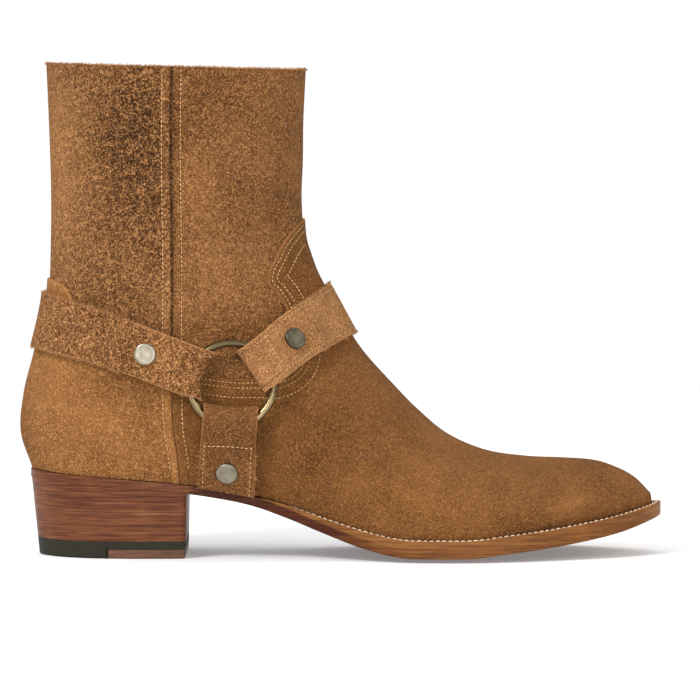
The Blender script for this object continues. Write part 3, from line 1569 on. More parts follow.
@dataclass
class Heel:
    """The stacked leather heel with its rubber top piece and leather tip."""

    last: Last
    length: float = 74.1
    taper: float = 0.1
    breast_lean: float = 0.02
    level_lifts: int = 4
    tapered_lifts: int = 2
    lift: float = 4.5
    top_piece: float = 8.1
    tip: float = 4.35
    tip_back: float = 36.8
    edge: float = 0.8
    gap: float = 0.3
    corner: float = 1.6
    steps: int = 46

    LIFT = ((0.0, 0.1, 0.0), (0.045, 0.0, 0.4), (0.35, 0.0, 1.5), (0.65, 0.0, 1.5), (0.955, 0.0, 0.4))

    @property
    def front(self) -> float:
        """X of the breast at the seat."""
        return self.last.sole_back + self.length

    def outline(self, drop: float, inset: float = 0.0) -> Array:
        """The outline of the heel at one height.

        Args:
            drop: Distance below the underside of the outsole at the back.
            inset: How far the outline is drawn in.

        Returns:
            Places as x and y, from the outer breast corner round the back to the inner one.
        """
        lean = self.taper * drop + inset
        front = self.front - self.breast_lean * drop - inset
        outer, inner = (self._half(int(side), lean, front) for side in Side)
        return np.concatenate([outer[::-1], inner[1:]])

    def _half(self, side: int, lean: float, front: float) -> Array:
        """Half of an outline, from the back to the rounded corner of the breast.

        Args:
            side: The side of the foot.
            lean: How far the outline is inside the seat's.
            front: X of the breast.

        Returns:
            Places as x and y.
        """
        seat = math.degrees(math.acos(1 - 2 * (self.front - self.last.upper_back) / self.last.upper_length))
        turn = np.linspace(0, 1, self.steps + 1) ** 0.9 * (seat + 1.0)
        x, y = self.last.plan(turn, side, self.last.margin(turn) - self.gap - lean)
        keep = x < front - self.corner
        x, y = x[keep], y[keep]
        bend = np.linspace(0, math.pi / 2, 6)[1:]
        x = np.concatenate([x, front - self.corner + self.corner * np.sin(bend)])
        y = np.concatenate([y, y[-1] - side * self.corner + side * self.corner * np.cos(bend)])
        return np.stack([x, y], 1)

    def _resampled(self, ring: Array, count: int = 110) -> Array:
        """An outline with evenly spread places."""
        at = np.concatenate([[0], np.cumsum(np.hypot(*np.diff(ring, axis=0).T))])
        t = np.linspace(0, at[-1], count)
        return np.stack([np.interp(t, at, ring[:, 0]), np.interp(t, at, ring[:, 1])], 1)

    def _block(
        self, levels: Sequence[tuple[float, float, float]], clip: tuple[float, float] = (-math.inf, math.inf)
    ) -> tuple[Array, list]:
        """A block between planes.

        Args:
            levels: Height at the back, height at the front, and inset of each plane.
            clip: Lowest and highest x that the block keeps.

        Returns:
            Places, of which the last two are the middles of its ends, and faces.
        """
        rings = []
        for back, front, inset in levels:
            ring = self._resampled(self.outline(self.last.seat_rise - back, inset))
            ring[:, 0] = np.clip(ring[:, 0], *clip)
            share = (ring[:, 0] - self.last.sole_back) / self.length
            rings.append(np.concatenate([ring, mix(back, front, share)[:, None]], 1))
        rings = np.stack(rings)
        places, quads, size = rings.reshape(-1, 3), loft(rings), rings.shape[1]
        faces = outward(places, quads)
        low, high, last = len(places), len(places) + 1, len(places) - size
        caps = []
        for j in range(size):
            n = (j + 1) % size
            caps += [[j, n, low], [last + n, last + j, high]]
        caps = [cap[::-1] for cap in caps] if faces is quads else caps
        return np.concatenate([places, *rings[[0, -1]].mean(1, keepdims=True)]), [*map(list, faces), *caps]

    def _levels(self) -> list[tuple[float, float]]:
        """Heights, at the back and front, of the planes between the lifts."""
        back = float(self.last.underside(self.last.sole_back)) - self.gap / 2
        front = float(self.last.underside(self.front)) - self.gap / 2
        planes = []
        for k in range(self.level_lifts + self.tapered_lifts + 1):
            share = max(0, k - self.level_lifts) / self.tapered_lifts
            level = self.top_piece + min(k, self.level_lifts) * self.lift
            planes.append((mix(level, back, share), mix(level, front, share)))
        return planes

    def stack(self, material: bpy.types.Material) -> bpy.types.Object:
        """The leather lifts as one polished block, with a fine line between each two.

        Args:
            material: The heel's leather.

        Returns:
            The piece.
        """
        planes = self._levels()
        levels, joints = [], []
        for (b0, f0), (b1, f1) in zip(planes, planes[1:]):
            for share, inset, joint in self.LIFT:
                levels.append((mix(b0, b1, share), mix(f0, f1, share), inset))
                joints.append(joint)
        places, faces = self._block([*levels, (*planes[-1], 0.0)])
        x = places[:, 0]
        low, high = (mix(*planes[k], (x - self.last.sole_back) / self.length) for k in (0, -1))
        rise = np.clip((places[:, 2] - low) / (high - low), 0, 1)
        places[:, 2] += rise * (self.last.underside(x) - 0.01 - high)
        count = (len(places) - 2) // (len(levels) + 1)
        joint = np.concatenate([np.repeat([*joints, 0.5], count), [1, 1]])
        tone = 0.03 * np.sin(places[:, 2] * 1.4 + 2) + 0.03 * ease((x - 40) / 40)
        return piece_from("heel_stack", places, faces, [material], values={"joint": joint, "tone": tone})

    def _level(self, *planes: tuple[float, float]) -> list[tuple[float, float, float]]:
        """Level planes for a block, each from its height and inset."""
        return [(z, z, inset) for z, inset in planes]

    def _standing(self, top: float, inset: float) -> list[tuple[float, float, float]]:
        """Planes of a block with a bevelled lowest edge, from the floor to a top."""
        return self._level((0, self.edge), (self.edge * 0.3, self.edge * 0.3), (self.edge, 0.0), (top, inset))

    def rubber(self, material: bpy.types.Material) -> bpy.types.Object:
        """The rubber top piece: a full layer, and a rear block under it.

        Args:
            material: Its rubber.

        Returns:
            The piece.
        """
        slab = self._level((self.tip, 0.0), (self.top_piece - 0.25, 0.0), (self.top_piece - 0.05, 0.15))
        cut = self.last.sole_back + self.tip_back
        (full, full_faces), (rear, rear_faces) = (
            self._block(slab),
            self._block(self._standing(self.tip + 1, 0.02), (-100.0, cut)),
        )
        places = np.concatenate([full, rear])
        faces = full_faces + [[v + len(full) for v in f] for f in rear_faces]
        values = {"joint": np.ones(len(places))}
        return piece_from("heel_rubber", places, faces, [material], values=values, smooth=False)

    def tip_piece(self, material: bpy.types.Material) -> bpy.types.Object:
        """The leather tip let into the front of the top piece.

        Args:
            material: Its leather.

        Returns:
            The piece.
        """
        cut = self.last.sole_back + self.tip_back + self.gap
        places, faces = self._block(self._standing(self.tip - 0.06, 0.0), (cut, 400.0))
        values = {"joint": np.ones(len(places)), "tone": np.full(len(places), -0.04)}
        return piece_from("heel_tip", places, faces, [material], values=values, smooth=False)


@dataclass(frozen=True)
class Strap:
    """The course and fold of one kind of harness strap."""

    reach: tuple[float, float]
    bow: float
    back: float
    falls: bool
    rivet: float
    straight: float  # how straight the fold's edge is, from 0 where it follows the ring to 1
    near: float = 23.0
    far: float = 26.0


class StrapKind(Enum):
    """The three kinds of strap that meet at a ring."""

    REAR = "rear"
    FRONT = "front"
    DOWN = "down"


@dataclass
class Harness:
    """Rings, straps and rivets on both sides of the ankle."""

    last: Last
    thick: float = 2.2
    ring_radius: float = 19.3
    wire: float = 1.8
    wire_play: float = 0.5
    ring_x: float = 100.5
    ring_rise: float = 50.6
    lift: float = 0.6
    foot: float = 1.2
    fall: float = 8.0
    settle: float = 18.0
    rivet_radius: float = 5.1
    rivet_height: float = 1.5
    gap: float = 0.3
    ragged: float = 0.28

    STRAPS = {
        StrapKind.REAR: Strap((-92.0, 28.6), 2.8, 34.0, True, 22.6, 0.15),
        StrapKind.FRONT: Strap((50.8, 33.6), 1.8, 24.0, True, 14.2, 0.95),
        StrapKind.DOWN: Strap((-2.8, 0.0), 0.0, 16.0, False, 19.5, 0.8, 25.4, 26.6),
    }

    def __post_init__(self) -> None:
        """Finds the planes of the rings."""
        self.fold = self.wire + self.wire_play + self.thick / 2
        self.layer = self.gap + self.thick
        self.ring_z = float(self.last.welt_top(self.ring_x)) + self.ring_rise
        self._edges: dict[StrapKind, tuple[Array, Array]] = {}
        self.planes = {side: self._ring_plane(side) for side in Side}

    def _bed(self, x: Array, z: Array, side: int) -> tuple[Array, Array]:
        """The lapped skin under places, with its normals."""
        x, z = np.atleast_1d(x), np.atleast_1d(z)
        return self.last.bed(x, z, np.full(x.shape, int(side)))

    def _ring_plane(self, side: Side) -> tuple[Array, Array]:
        """Centre and normal of a ring, clear of the straps folded round it."""
        point, normal = (v[0] for v in self._bed(self.ring_x, self.ring_z, side))
        a = np.radians(np.arange(0, 360, 10))
        x, z = self.ring_x + self.ring_radius * np.cos(a), self.ring_z + self.ring_radius * np.sin(a)
        around, _ = self._bed(x, z, side)
        clear = self.fold + self.thick / 2 + self.gap
        height = max(clear, clear + float(((around - point) @ normal).max()))
        return point + np.array([0, height / normal[1], 0]), normal

    def _reach(self, kind: StrapKind) -> tuple[float, float]:
        """Direction of a strap in the side view."""
        strap = self.STRAPS[kind]
        if kind is StrapKind.DOWN:
            return strap.reach[0], float(self.last.feather_z(self.ring_x)) - self.ring_z
        return strap.reach

    def _end(self, kind: StrapKind, a: Array, b: Array) -> Array:
        """Where the line from a to b meets the back, the ridge or the sole."""
        if kind is not StrapKind.DOWN and kind not in self._edges:
            rear = kind is StrapKind.REAR
            rows = np.linspace(0, 8, 900) if rear else np.linspace(2, 17, 1200)
            if rear:
                x, _, z = self.last.base_point(rows, np.full(rows.shape, -1), -1.2)
            else:
                x, z = self.last.front_point(rows, -1.2)
            self._edges[kind] = (x, z)
        if kind is StrapKind.DOWN:
            t = np.linspace(0, 1.5, 600)
            p = a + (b - a) * t[:, None]
            above = p[:, 1] > self.last.feather_z(p[:, 0]) + self.foot
            return p[int(np.argmin(above)) - 1]
        x, z = self._edges[kind]
        beyond = (b[0] - a[0]) * (z - a[1]) - (b[1] - a[1]) * (x - a[0])
        k = int(np.argmax(np.sign(beyond) != np.sign(beyond[0])))
        t = beyond[k - 1] / (beyond[k - 1] - beyond[k])
        return np.array([mix(x[k - 1], x[k], t), mix(z[k - 1], z[k], t)])

    def lines(self, kind: StrapKind, across: Array | float, side: Side) -> dict[str, Array]:
        """Lines along a strap, from their places on the wire to its far end.

        Args:
            kind: Which strap.
            across: Places across it, from -1 to 1.
            side: The side of the boot.

        Returns:
            Each line's places, directions and lengths, one row a line.
        """
        strap, (centre, normal) = self.STRAPS[kind], self.planes[side]
        across = np.atleast_1d(np.asarray(across, float))
        rx, rz = self._reach(kind)
        along = np.array([rx, 0.0, rz])
        along[1] = -along @ normal / normal[1]
        along = unit(along)
        beside = np.cross(normal, along) * -int(side)
        near = across * strap.near / 2
        depth = np.sqrt(self.ring_radius**2 - near**2)
        wire = centre + along * depth[:, None] + beside * near[:, None]
        p = wire.copy()
        for _ in range(6):
            height = (wire - self._bed(p[:, 0], p[:, 2], side)[0]) @ normal
            p = wire - normal * height[:, None]
        length = math.hypot(rx, rz)
        d, ring = np.array([rx, rz]) / length, np.array([self.ring_x, self.ring_z])
        square = np.array([-d[1], d[0]])
        first = ring + d * depth[:, None] + square * near[:, None]
        second = ring + d * length + square * (across * strap.far / 2)[:, None]
        end = np.array([self._end(kind, a, b) for a, b in zip(first, second)])
        start = p[:, [0, 2]]
        edge_depth = math.sqrt(self.ring_radius**2 - (strap.near / 2) ** 2)
        crease = edge_depth - self.fold * self.ring_radius / edge_depth
        follow = self.fold * self.ring_radius / depth
        return {
            "wire": wire,
            "along": np.broadcast_to(along, wire.shape),
            "start": start,
            "end": end,
            "total": np.hypot(*(end - start).T),
            "depth": depth,
            "reach": mix(follow, np.maximum(follow, depth - crease), strap.straight),
        }

    def point(
        self, kind: StrapKind, side: Side, lines: dict[str, Array], s: Array, level: float, face: Array | float
    ) -> Array:
        """Points on a strap.

        Args:
            kind: Which strap.
            side: The side of the boot.
            lines: The lines that the points are on.
            s: Places along each line, one row a line.
            level: 1 on the top layer and -1 on the layer underneath.
            face: From -1 on a layer's inner face to 1 on its outer face, for each line.

        Returns:
            Places, with a row for each line.
        """
        strap, normal = self.STRAPS[kind], self.planes[side][1]
        s = np.broadcast_to(s, (len(lines["wire"]), np.shape(s)[-1])).astype(float)
        face = np.broadcast_to(face, len(s))[:, None]
        share = np.maximum(s, 0) / lines["total"][:, None]
        x = mix(lines["start"][:, :1], lines["end"][:, :1], share)
        bow = strap.bow * np.sin(np.pi * np.clip(share, 0, 1))
        z = mix(lines["start"][:, 1:], lines["end"][:, 1:], share) + bow
        bed, square = self._bed(x.ravel(), z.ravel(), side)
        bed, square = bed.reshape(*s.shape, 3), square.reshape(*s.shape, 3)
        falls = ease((s - strap.back) / self.fall) if strap.falls else np.zeros_like(s)
        flat, offset = self.lift + self.thick / 2, face * self.thick / 2
        middle = flat + self.layer * (1 - falls) if level > 0 else np.full_like(s, flat)
        on_bed = bed + square * (middle + level * offset)[..., None]
        rise = level * (self.fold + offset) + np.zeros_like(s)
        plane = lines["wire"][:, None] + lines["along"][:, None] * s[..., None] + normal * rise[..., None]
        return mix(plane, on_bed, ease(s / self.settle)[..., None])

    def _profile(self) -> list[tuple[float, float]]:
        """Places round a strap's section: across it, and from face to face."""
        top = [(a, 1.0) for a in np.linspace(-0.965, 0.965, 19)]
        edge = [(0.984, 0.93), (0.996, 0.68), (1.0, 0.25), (1.0, -0.25), (0.996, -0.68), (0.984, -0.93)]
        bottom = [(a, -1.0) for a in np.linspace(0.965, -0.965, 9)]
        return [*top, *edge, *bottom, *[(-a, h) for a, h in edge[::-1]]]

    def _course(self, kind: StrapKind, side: Side, across: Array, face: Array, steps: list) -> Array:
        """The places of a strap on one side of the boot, one row for each step along it."""
        strap, lines, out = self.STRAPS[kind], self.lines(kind, across, side), []
        for what, value in steps:
            if what == "fold":
                radius = (self.fold + face * self.thick / 2)[:, None]
                reach = lines["reach"][:, None] + (radius - self.fold)
                away = lines["along"][:, None] * (reach * np.cos(value))[..., None]
                up = self.planes[side][1] * (radius * np.sin(value))[..., None]
                out.append(lines["wire"][:, None] - away + up)
                continue
            level = 1.0 if what in ("over", "far") else -1.0
            if what in ("over", "under"):
                s = np.tile(value * strap.back, (len(across), 1))
            else:
                s = mix(strap.back, lines["total"][:, None], value[None, :])
            out.append(self.point(kind, side, lines, s, level, face))
        return np.concatenate(out, axis=1).transpose(1, 0, 2)

    def strap(
        self, kind: StrapKind, name: str, material: bpy.types.Material, sides: Sequence[Side], nap: float
    ) -> bpy.types.Object:
        """A strap as one ribbon of leather with rounded, slightly uneven edges.

        Args:
            kind: Which strap.
            name: Name of the piece.
            material: Its suede.
            sides: Both sides for a strap that runs across, or the one side of a short strap.
            nap: How coarse its nap is.

        Returns:
            The piece.
        """
        near, far = np.linspace(0, 1, 15), np.sin(np.linspace(0, math.pi / 2, 40))[1:]
        fold = np.radians(np.linspace(-84, 84, 17))
        half = [("under", near[::-1]), ("fold", fold), ("over", near), ("far", far)]
        if kind is StrapKind.DOWN:
            half.insert(0, ("far under", far[::-1]))
        across, face = (np.array(v) for v in zip(*self._profile()))
        rings = []
        for side in sides:
            block = self._course(kind, side, across, face, half)
            rings.append(block if side == sides[0] else block[:-1][::-1])
        rings = np.concatenate(rings)
        way = unit(rings[:, 18] - rings[:, 0])
        rng = np.random.default_rng(len(name) * 7 + 3)
        size, even = len(rings) + 8, np.ones(5) / 5
        right, left = (np.convolve(rng.normal(size=size), even, "same")[4:-4] for _ in range(2))
        pull = np.clip((np.abs(across) - 0.9) / 0.1, 0, 1) * np.sign(across)
        amount = np.where(across[None, :] > 0, right[:, None], left[:, None]) * self.ragged
        places, faces = capped(rings + way[:, None, :] * (pull[None, :] * amount)[..., None])
        inward = (1 - np.abs(across)) * (self.STRAPS[kind].near + self.STRAPS[kind].far) / 4
        edge = np.where(face > -0.99, inward, 9.0)
        values = {"edge": np.tile(edge, len(rings)), "across": np.tile(inward, len(rings))}
        values |= {"nap": np.full(len(places), nap), "tone": np.zeros(len(places))}
        return piece_from(name, places, faces, [material], values=values)

    def _square_to(self, normal: Array) -> tuple[Array, Array]:
        """Two directions square to a normal and to each other."""
        a = unit(np.cross(np.array([0.0, 0.0, 1.0]), normal))
        return a, np.cross(normal, a)

    def ring(self, side: Side, name: str, material: bpy.types.Material) -> bpy.types.Object:
        """A ring of round wire."""
        centre, normal = self.planes[side]
        a, b = self._square_to(normal)
        turn, around = np.linspace(0, 2 * math.pi, 97)[:-1], np.linspace(0, 2 * math.pi, 21)[:-1]
        out = np.cos(turn)[:, None] * a + np.sin(turn)[:, None] * b
        radius = self.ring_radius + self.wire * np.cos(around)
        rise = (self.wire * np.sin(around))[None, :, None]
        rings = centre + out[:, None, :] * radius[None, :, None] + normal * rise
        places, faces = rings.reshape(-1, 3), loft(rings, looped=True)
        tone = -0.3 * ease((places[:, 2] - centre[2] + 4) / 22)
        return piece_from(name, places, outward(places, faces), [material], values={"tone": tone})

    def rivet_seat(self, kind: StrapKind, side: Side) -> tuple[Array, Array]:
        """Where a rivet sits on its strap.

        Args:
            kind: The strap that it holds.
            side: The side of the boot.

        Returns:
            The place under its head, and the direction that it faces.
        """
        strap = self.STRAPS[kind]
        share = 2 * self.rivet_radius / strap.near
        lines = self.lines(kind, np.array([0.0, -share, share]), side)
        s = strap.rivet + np.array([0.0, self.rivet_radius, -self.rivet_radius])
        on = self.point(kind, side, lines, s, 1.0, 1.0)
        middle, ahead, behind, left, right = on[0, 0], on[0, 1], on[0, 2], on[1, 0], on[2, 0]
        normal = unit(np.cross(ahead - behind, right - left))
        normal = normal if normal[1] * int(side) > 0 else -normal
        height = max(0.0, *[float((p - middle) @ normal) for p in (ahead, behind, left, right)])
        return middle + normal * (height + 0.1), normal

    def raw_edges(self) -> list[tuple[str, Array, Array]]:
        """Courses of the straps' cut edges, whose fibres stand out.

        Returns:
            For each edge its kind, its places and the directions that it faces.
        """
        out = []
        for side in Side:
            for kind in StrapKind:
                for across in (-1.0, 1.0):
                    lines = self.lines(kind, np.array([across, 0.0]), side)
                    shares = np.linspace(0.0, 0.99, 70)[None, :]
                    s = mix(self.STRAPS[kind].back, lines["total"][:, None], shares)
                    top, under = (self.point(kind, side, lines, s, 1.0, face) for face in (0.75, -0.5))
                    facing = unit(top[0] - under[0]) + unit(top[0] - top[1]) * 0.9
                    out.append(("strap_edge", top[0], unit(facing)))
        return out

    def guides(self) -> list[tuple[str, Array, Array]]:
        """Courses of the stitch rows on the front and down straps."""
        out = []

        def add(kind: StrapKind, side: Side, across: Array, s: Array) -> None:
            """Adds the row that runs through s along each line of the strap."""
            lines = self.lines(kind, across, side)
            s = np.asarray(s, float)
            s = s[:, None] if len(lines["wire"]) > 1 else s[None, :]
            top, under = (self.point(kind, side, lines, s, 1.0, face).reshape(-1, 3) for face in (1.0, 0.0))
            out.append(("strap", top, unit(top - under)))

        def from_centre(kind: StrapKind, side: Side, across: Array, distance: float) -> Array:
            """Places along the lines that are level with a distance from the ring's centre."""
            return distance - self.lines(kind, across, side)["depth"]

        for side in Side:
            for across in (-0.79, 0.79):
                total = float(self.lines(StrapKind.FRONT, across, side)["total"][0])
                add(StrapKind.FRONT, side, across, np.linspace(1.0, total, 60))
            over = np.linspace(-0.79, 0.79, 15)
            add(StrapKind.FRONT, side, over, from_centre(StrapKind.FRONT, side, over, 24.4))
            over = np.linspace(-0.84, 0.84, 15)
            add(StrapKind.DOWN, side, over, from_centre(StrapKind.DOWN, side, over, 28.4))
            for across in (-0.84, 0.84):
                line = self.lines(StrapKind.DOWN, across, side)
                start, end = 28.4 - float(line["depth"][0]), float(line["total"][0]) - 1.2
                add(StrapKind.DOWN, side, across, np.linspace(start, end, 30))
        return out


@dataclass(frozen=True)
class StitchSize:
    """Sizes of one kind of stitch or fibre, in millimetres."""

    pitch: float
    length: float
    thread: float
    sink: float = 0.0
    slant: float = 0.0
    spread: float = 0.05


class Stitching:
    """Rows of thread stitches, laid along their courses by geometry nodes."""

    SIZES = {
        "seam": StitchSize(2.1, 1.55, 0.5, -0.02, 0.06),
        "wing": StitchSize(1.95, 1.45, 0.5, -0.02, 0.06),
        "welt": StitchSize(2.9, 2.5, 0.95, -0.15, 0.14),
        "strap": StitchSize(2.2, 1.5, 0.46, 0.0, 0.08),
    }
    VARY = (0.88, 1.1)
    PIVOT = "X"
    AXES = ("Length", "Thread", "Thread")
    INPUTS = ("Pitch", "Length", "Thread", "Sink", "Slant", "Spread")

    def __init__(self, threads: dict[str, bpy.types.Material]) -> None:
        """Keeps the threads.

        Args:
            threads: Material for each kind of row.
        """
        self.threads = threads

    def _bead(self, graph: Graph) -> bpy.types.NodeSocket:
        """One stitch of unit size, long in X."""
        inputs = {"Segments": 6, "Rings": 5, "Radius": 1.0}
        bead = graph.node("GeometryNodeMeshUVSphere", inputs).outputs["Mesh"]
        turn = (0, math.pi / 2, 0)
        return graph.node("GeometryNodeTransform", {"Geometry": bead, "Rotation": turn}).outputs[0]

    def _points(self, graph: Graph, value: bpy.types.NodeOutputs) -> bpy.types.NodeSocket:
        """Even places along the courses."""
        curve = graph.node("GeometryNodeMeshToCurve", {"Mesh": value["Courses"]}).outputs[0]
        inputs = {"Curve": curve, "Length": value["Pitch"]}
        return graph.node("GeometryNodeResampleCurve", inputs, mode="LENGTH").outputs[0]

    def _shape(self, g: Graph, value: bpy.types.NodeOutputs) -> bpy.types.NodeSocket:
        """One stitch at its size, sunk into the leather."""
        sizes = {axis: g.maths("MULTIPLY", value[label], 0.5) for axis, label in zip("XYZ", self.AXES)}
        drop = {"Z": g.maths("MULTIPLY", value["Sink"], -1.0)}
        size, drop = (g.node("ShaderNodeCombineXYZ", v).outputs[0] for v in (sizes, drop))
        inputs = {"Geometry": self._bead(g), "Scale": size, "Translation": drop}
        return g.node("GeometryNodeTransform", inputs).outputs[0]

    def _rotation(self, g: Graph, value: bpy.types.NodeOutputs) -> bpy.types.NodeSocket:
        """Along the course and square to the leather, with a slant and small random turns.

        Args:
            g: The tree's graph.
            value: The tree's inputs.

        Returns:
            The rotation of each stitch.
        """
        name = {"Name": "facing"}
        facing = g.node("GeometryNodeInputNamedAttribute", name, data_type="FLOAT_VECTOR").outputs[0]
        tangent = g.node("GeometryNodeInputTangent").outputs[0]
        along = g.node("FunctionNodeAlignRotationToVector", {"Vector": tangent}, axis="X").outputs[0]
        inputs = {"Rotation": along, "Vector": facing}
        up = g.node("FunctionNodeAlignRotationToVector", inputs, axis="Z", pivot_axis=self.PIVOT).outputs[0]
        ends = []
        for sign in (-1.0, 1.0):
            reach = g.maths("MULTIPLY", value["Spread"], sign)
            slant = g.maths("ADD", value["Slant"], reach)
            ends.append(g.node("ShaderNodeCombineXYZ", {"X": reach, "Y": reach, "Z": slant}).outputs[0])
        inputs = {0: ends[0], 1: ends[1], "Seed": value["Seed"]}
        turn = g.node("FunctionNodeRandomValue", inputs, data_type="FLOAT_VECTOR").outputs[0]
        turn = g.node("FunctionNodeEulerToRotation", {0: turn}).outputs[0]
        return g.node("FunctionNodeRotateRotation", {0: up, 1: turn}, rotation_space="LOCAL").outputs[0]

    def _tree(self, name: str, thread: bpy.types.Material) -> bpy.types.NodeTree:
        """Builds the tree that turns courses into stitches.

        Args:
            name: Name of the tree.
            thread: Material of the stitches.

        Returns:
            The tree.
        """
        tree = bpy.data.node_groups.new(name, "GeometryNodeTree")
        sockets = [("Courses", "Geometry"), *((label, "Float") for label in self.INPUTS), ("Seed", "Int")]
        for label, kind in sockets:
            tree.interface.new_socket(label, in_out="INPUT", socket_type="NodeSocket" + kind)
        tree.interface.new_socket("Stitches", in_out="OUTPUT", socket_type="NodeSocketGeometry")
        g = Graph(tree)
        value = g.node("NodeGroupInput").outputs
        low, high = self.VARY
        inputs = {2: low, 3: high, "Seed": g.maths("ADD", value["Seed"], 5)}
        vary = g.node("FunctionNodeRandomValue", inputs, data_type="FLOAT").outputs[1]
        inputs = {"Points": self._points(g, value), "Instance": self._shape(g, value)}
        inputs |= {"Rotation": self._rotation(g, value), "Scale": vary}
        laid = g.node("GeometryNodeInstanceOnPoints", inputs).outputs[0]
        real = g.node("GeometryNodeRealizeInstances", {0: laid}).outputs[0]
        smooth = g.node("GeometryNodeSetShadeSmooth", {0: real}).outputs[0]
        dressed = g.node("GeometryNodeSetMaterial", {"Geometry": smooth, "Material": thread}).outputs[0]
        g.node("NodeGroupOutput", {0: dressed})
        return tree

    def sew(self, kind: str, name: str, courses: Sequence[tuple[Array, Array]], seed: int) -> bpy.types.Object:
        """Sews rows of one kind of stitch.

        Args:
            kind: The kind of row.
            name: Name of the piece.
            courses: Places and directions of each row, in the boot's own millimetres.
            seed: Seed of the small differences between stitches.

        Returns:
            The stitches as one plain mesh.
        """
        size = self.SIZES[kind]
        places = np.concatenate([(p + FRAME_SHIFT) * MILLIMETRE for p, _ in courses])
        facing = np.concatenate([f for _, f in courses])
        edges, start = [], 0
        for p, _ in courses:
            edges += [(start + i, start + i + 1) for i in range(len(p) - 1)]
            start += len(p)
        mesh = bpy.data.meshes.new(name + "_courses")
        mesh.from_pydata(places.tolist(), edges, [])
        attribute = mesh.attributes.new("facing", "FLOAT_VECTOR", "POINT")
        attribute.data.foreach_set("vector", facing.astype(np.float32).ravel())
        guide = bpy.data.objects.new(name + "_courses", mesh)
        bpy.context.scene.collection.objects.link(guide)
        tree = self._tree(name + "_tree", self.threads[kind])
        modifier = guide.modifiers.new("stitches", "NODES")
        modifier.node_group = tree
        values = {label: getattr(size, label.lower()) * MILLIMETRE for label in self.INPUTS[:4]}
        values |= {"Slant": size.slant, "Spread": size.spread, "Seed": seed}
        for item in tree.interface.items_tree:
            if item.item_type == "SOCKET" and item.in_out == "INPUT" and item.name in values:
                modifier[item.identifier] = values[item.name]
        graph = bpy.context.evaluated_depsgraph_get()
        sewn = bpy.data.meshes.new_from_object(guide.evaluated_get(graph))
        sewn.name = name
        guide.modifiers.remove(modifier)
        bpy.data.objects.remove(guide)
        piece = bpy.data.objects.new(name, sewn)
        bpy.context.scene.collection.objects.link(piece)
        return piece


class Fuzz(Stitching):
    """Fibres that stand out of the suede's cut edges, each a thin tapered tuft."""

    SIZES = {
        "collar": StitchSize(0.4, 2.3, 0.55, 0.1, 0.0, 1.1),
        "panel": StitchSize(0.5, 2.0, 0.5, 0.1, 0.0, 1.0),
        "strap_edge": StitchSize(0.45, 2.7, 0.56, 0.1, 0.0, 1.1),
    }
    VARY = (0.35, 1.35)
    AXES = ("Thread", "Thread", "Length")

    def _bead(self, graph: Graph) -> bpy.types.NodeSocket:
        """One fibre of unit size, upright in Z."""
        inputs = {"Vertices": 3, "Radius Top": 0.3, "Radius Bottom": 1.0, "Depth": 1.0}
        return graph.node("GeometryNodeMeshCone", inputs).outputs["Mesh"]


class Rivets(Stitching):
    """Flat-headed rivets with a rolled rim, set on their places by geometry nodes."""

    PROFILE = (  # distance from the middle and height, as shares of the radius and the height
        *((0.0, -0.3), (0.95, -0.3), (0.985, 0.1), (1.0, 0.35), (0.99, 0.62), (0.95, 0.85), (0.88, 0.97)),
        *((0.8, 1.0), (0.7, 0.97), (0.62, 0.9), (0.35, 0.89), (0.0, 0.88)),
    )
    AXES = ("Length", "Length", "Thread")
    VARY = (1.0, 1.0)
    PIVOT = "AUTO"

    def __init__(self, metals: dict[str, bpy.types.Material], radius: float, height: float) -> None:
        """Makes one head of unit size.

        Args:
            metals: Metal of each kind of rivet.
            radius: Radius of a head.
            height: Height of a head.
        """
        super().__init__(metals)
        self.SIZES = dict.fromkeys(metals, StitchSize(0.0, 2 * radius, 2 * height, spread=0.0))
        turn = np.linspace(0, 2 * math.pi, 49)[:-1]
        circle = np.stack([np.cos(turn), np.sin(turn), turn * 0], 1)
        rings = np.stack([circle * p + np.array([0, 0, q]) for p, q in self.PROFILE])
        places, faces = rings.reshape(-1, 3) / MILLIMETRE, loft(rings)
        places, faces, _, _ = merged(places, outward(places, faces), {})
        self.head = piece_from("rivet_head", places, faces, [], in_frame=True)

    def _bead(self, graph: Graph) -> bpy.types.NodeSocket:
        """The head."""
        return graph.node("GeometryNodeObjectInfo", {"Object": self.head}).outputs["Geometry"]

    def _points(self, graph: Graph, value: bpy.types.NodeOutputs) -> bpy.types.NodeSocket:
        """The places themselves."""
        return value["Courses"]

    def clear(self) -> None:
        """Removes the head of unit size."""
        bpy.data.objects.remove(self.head)


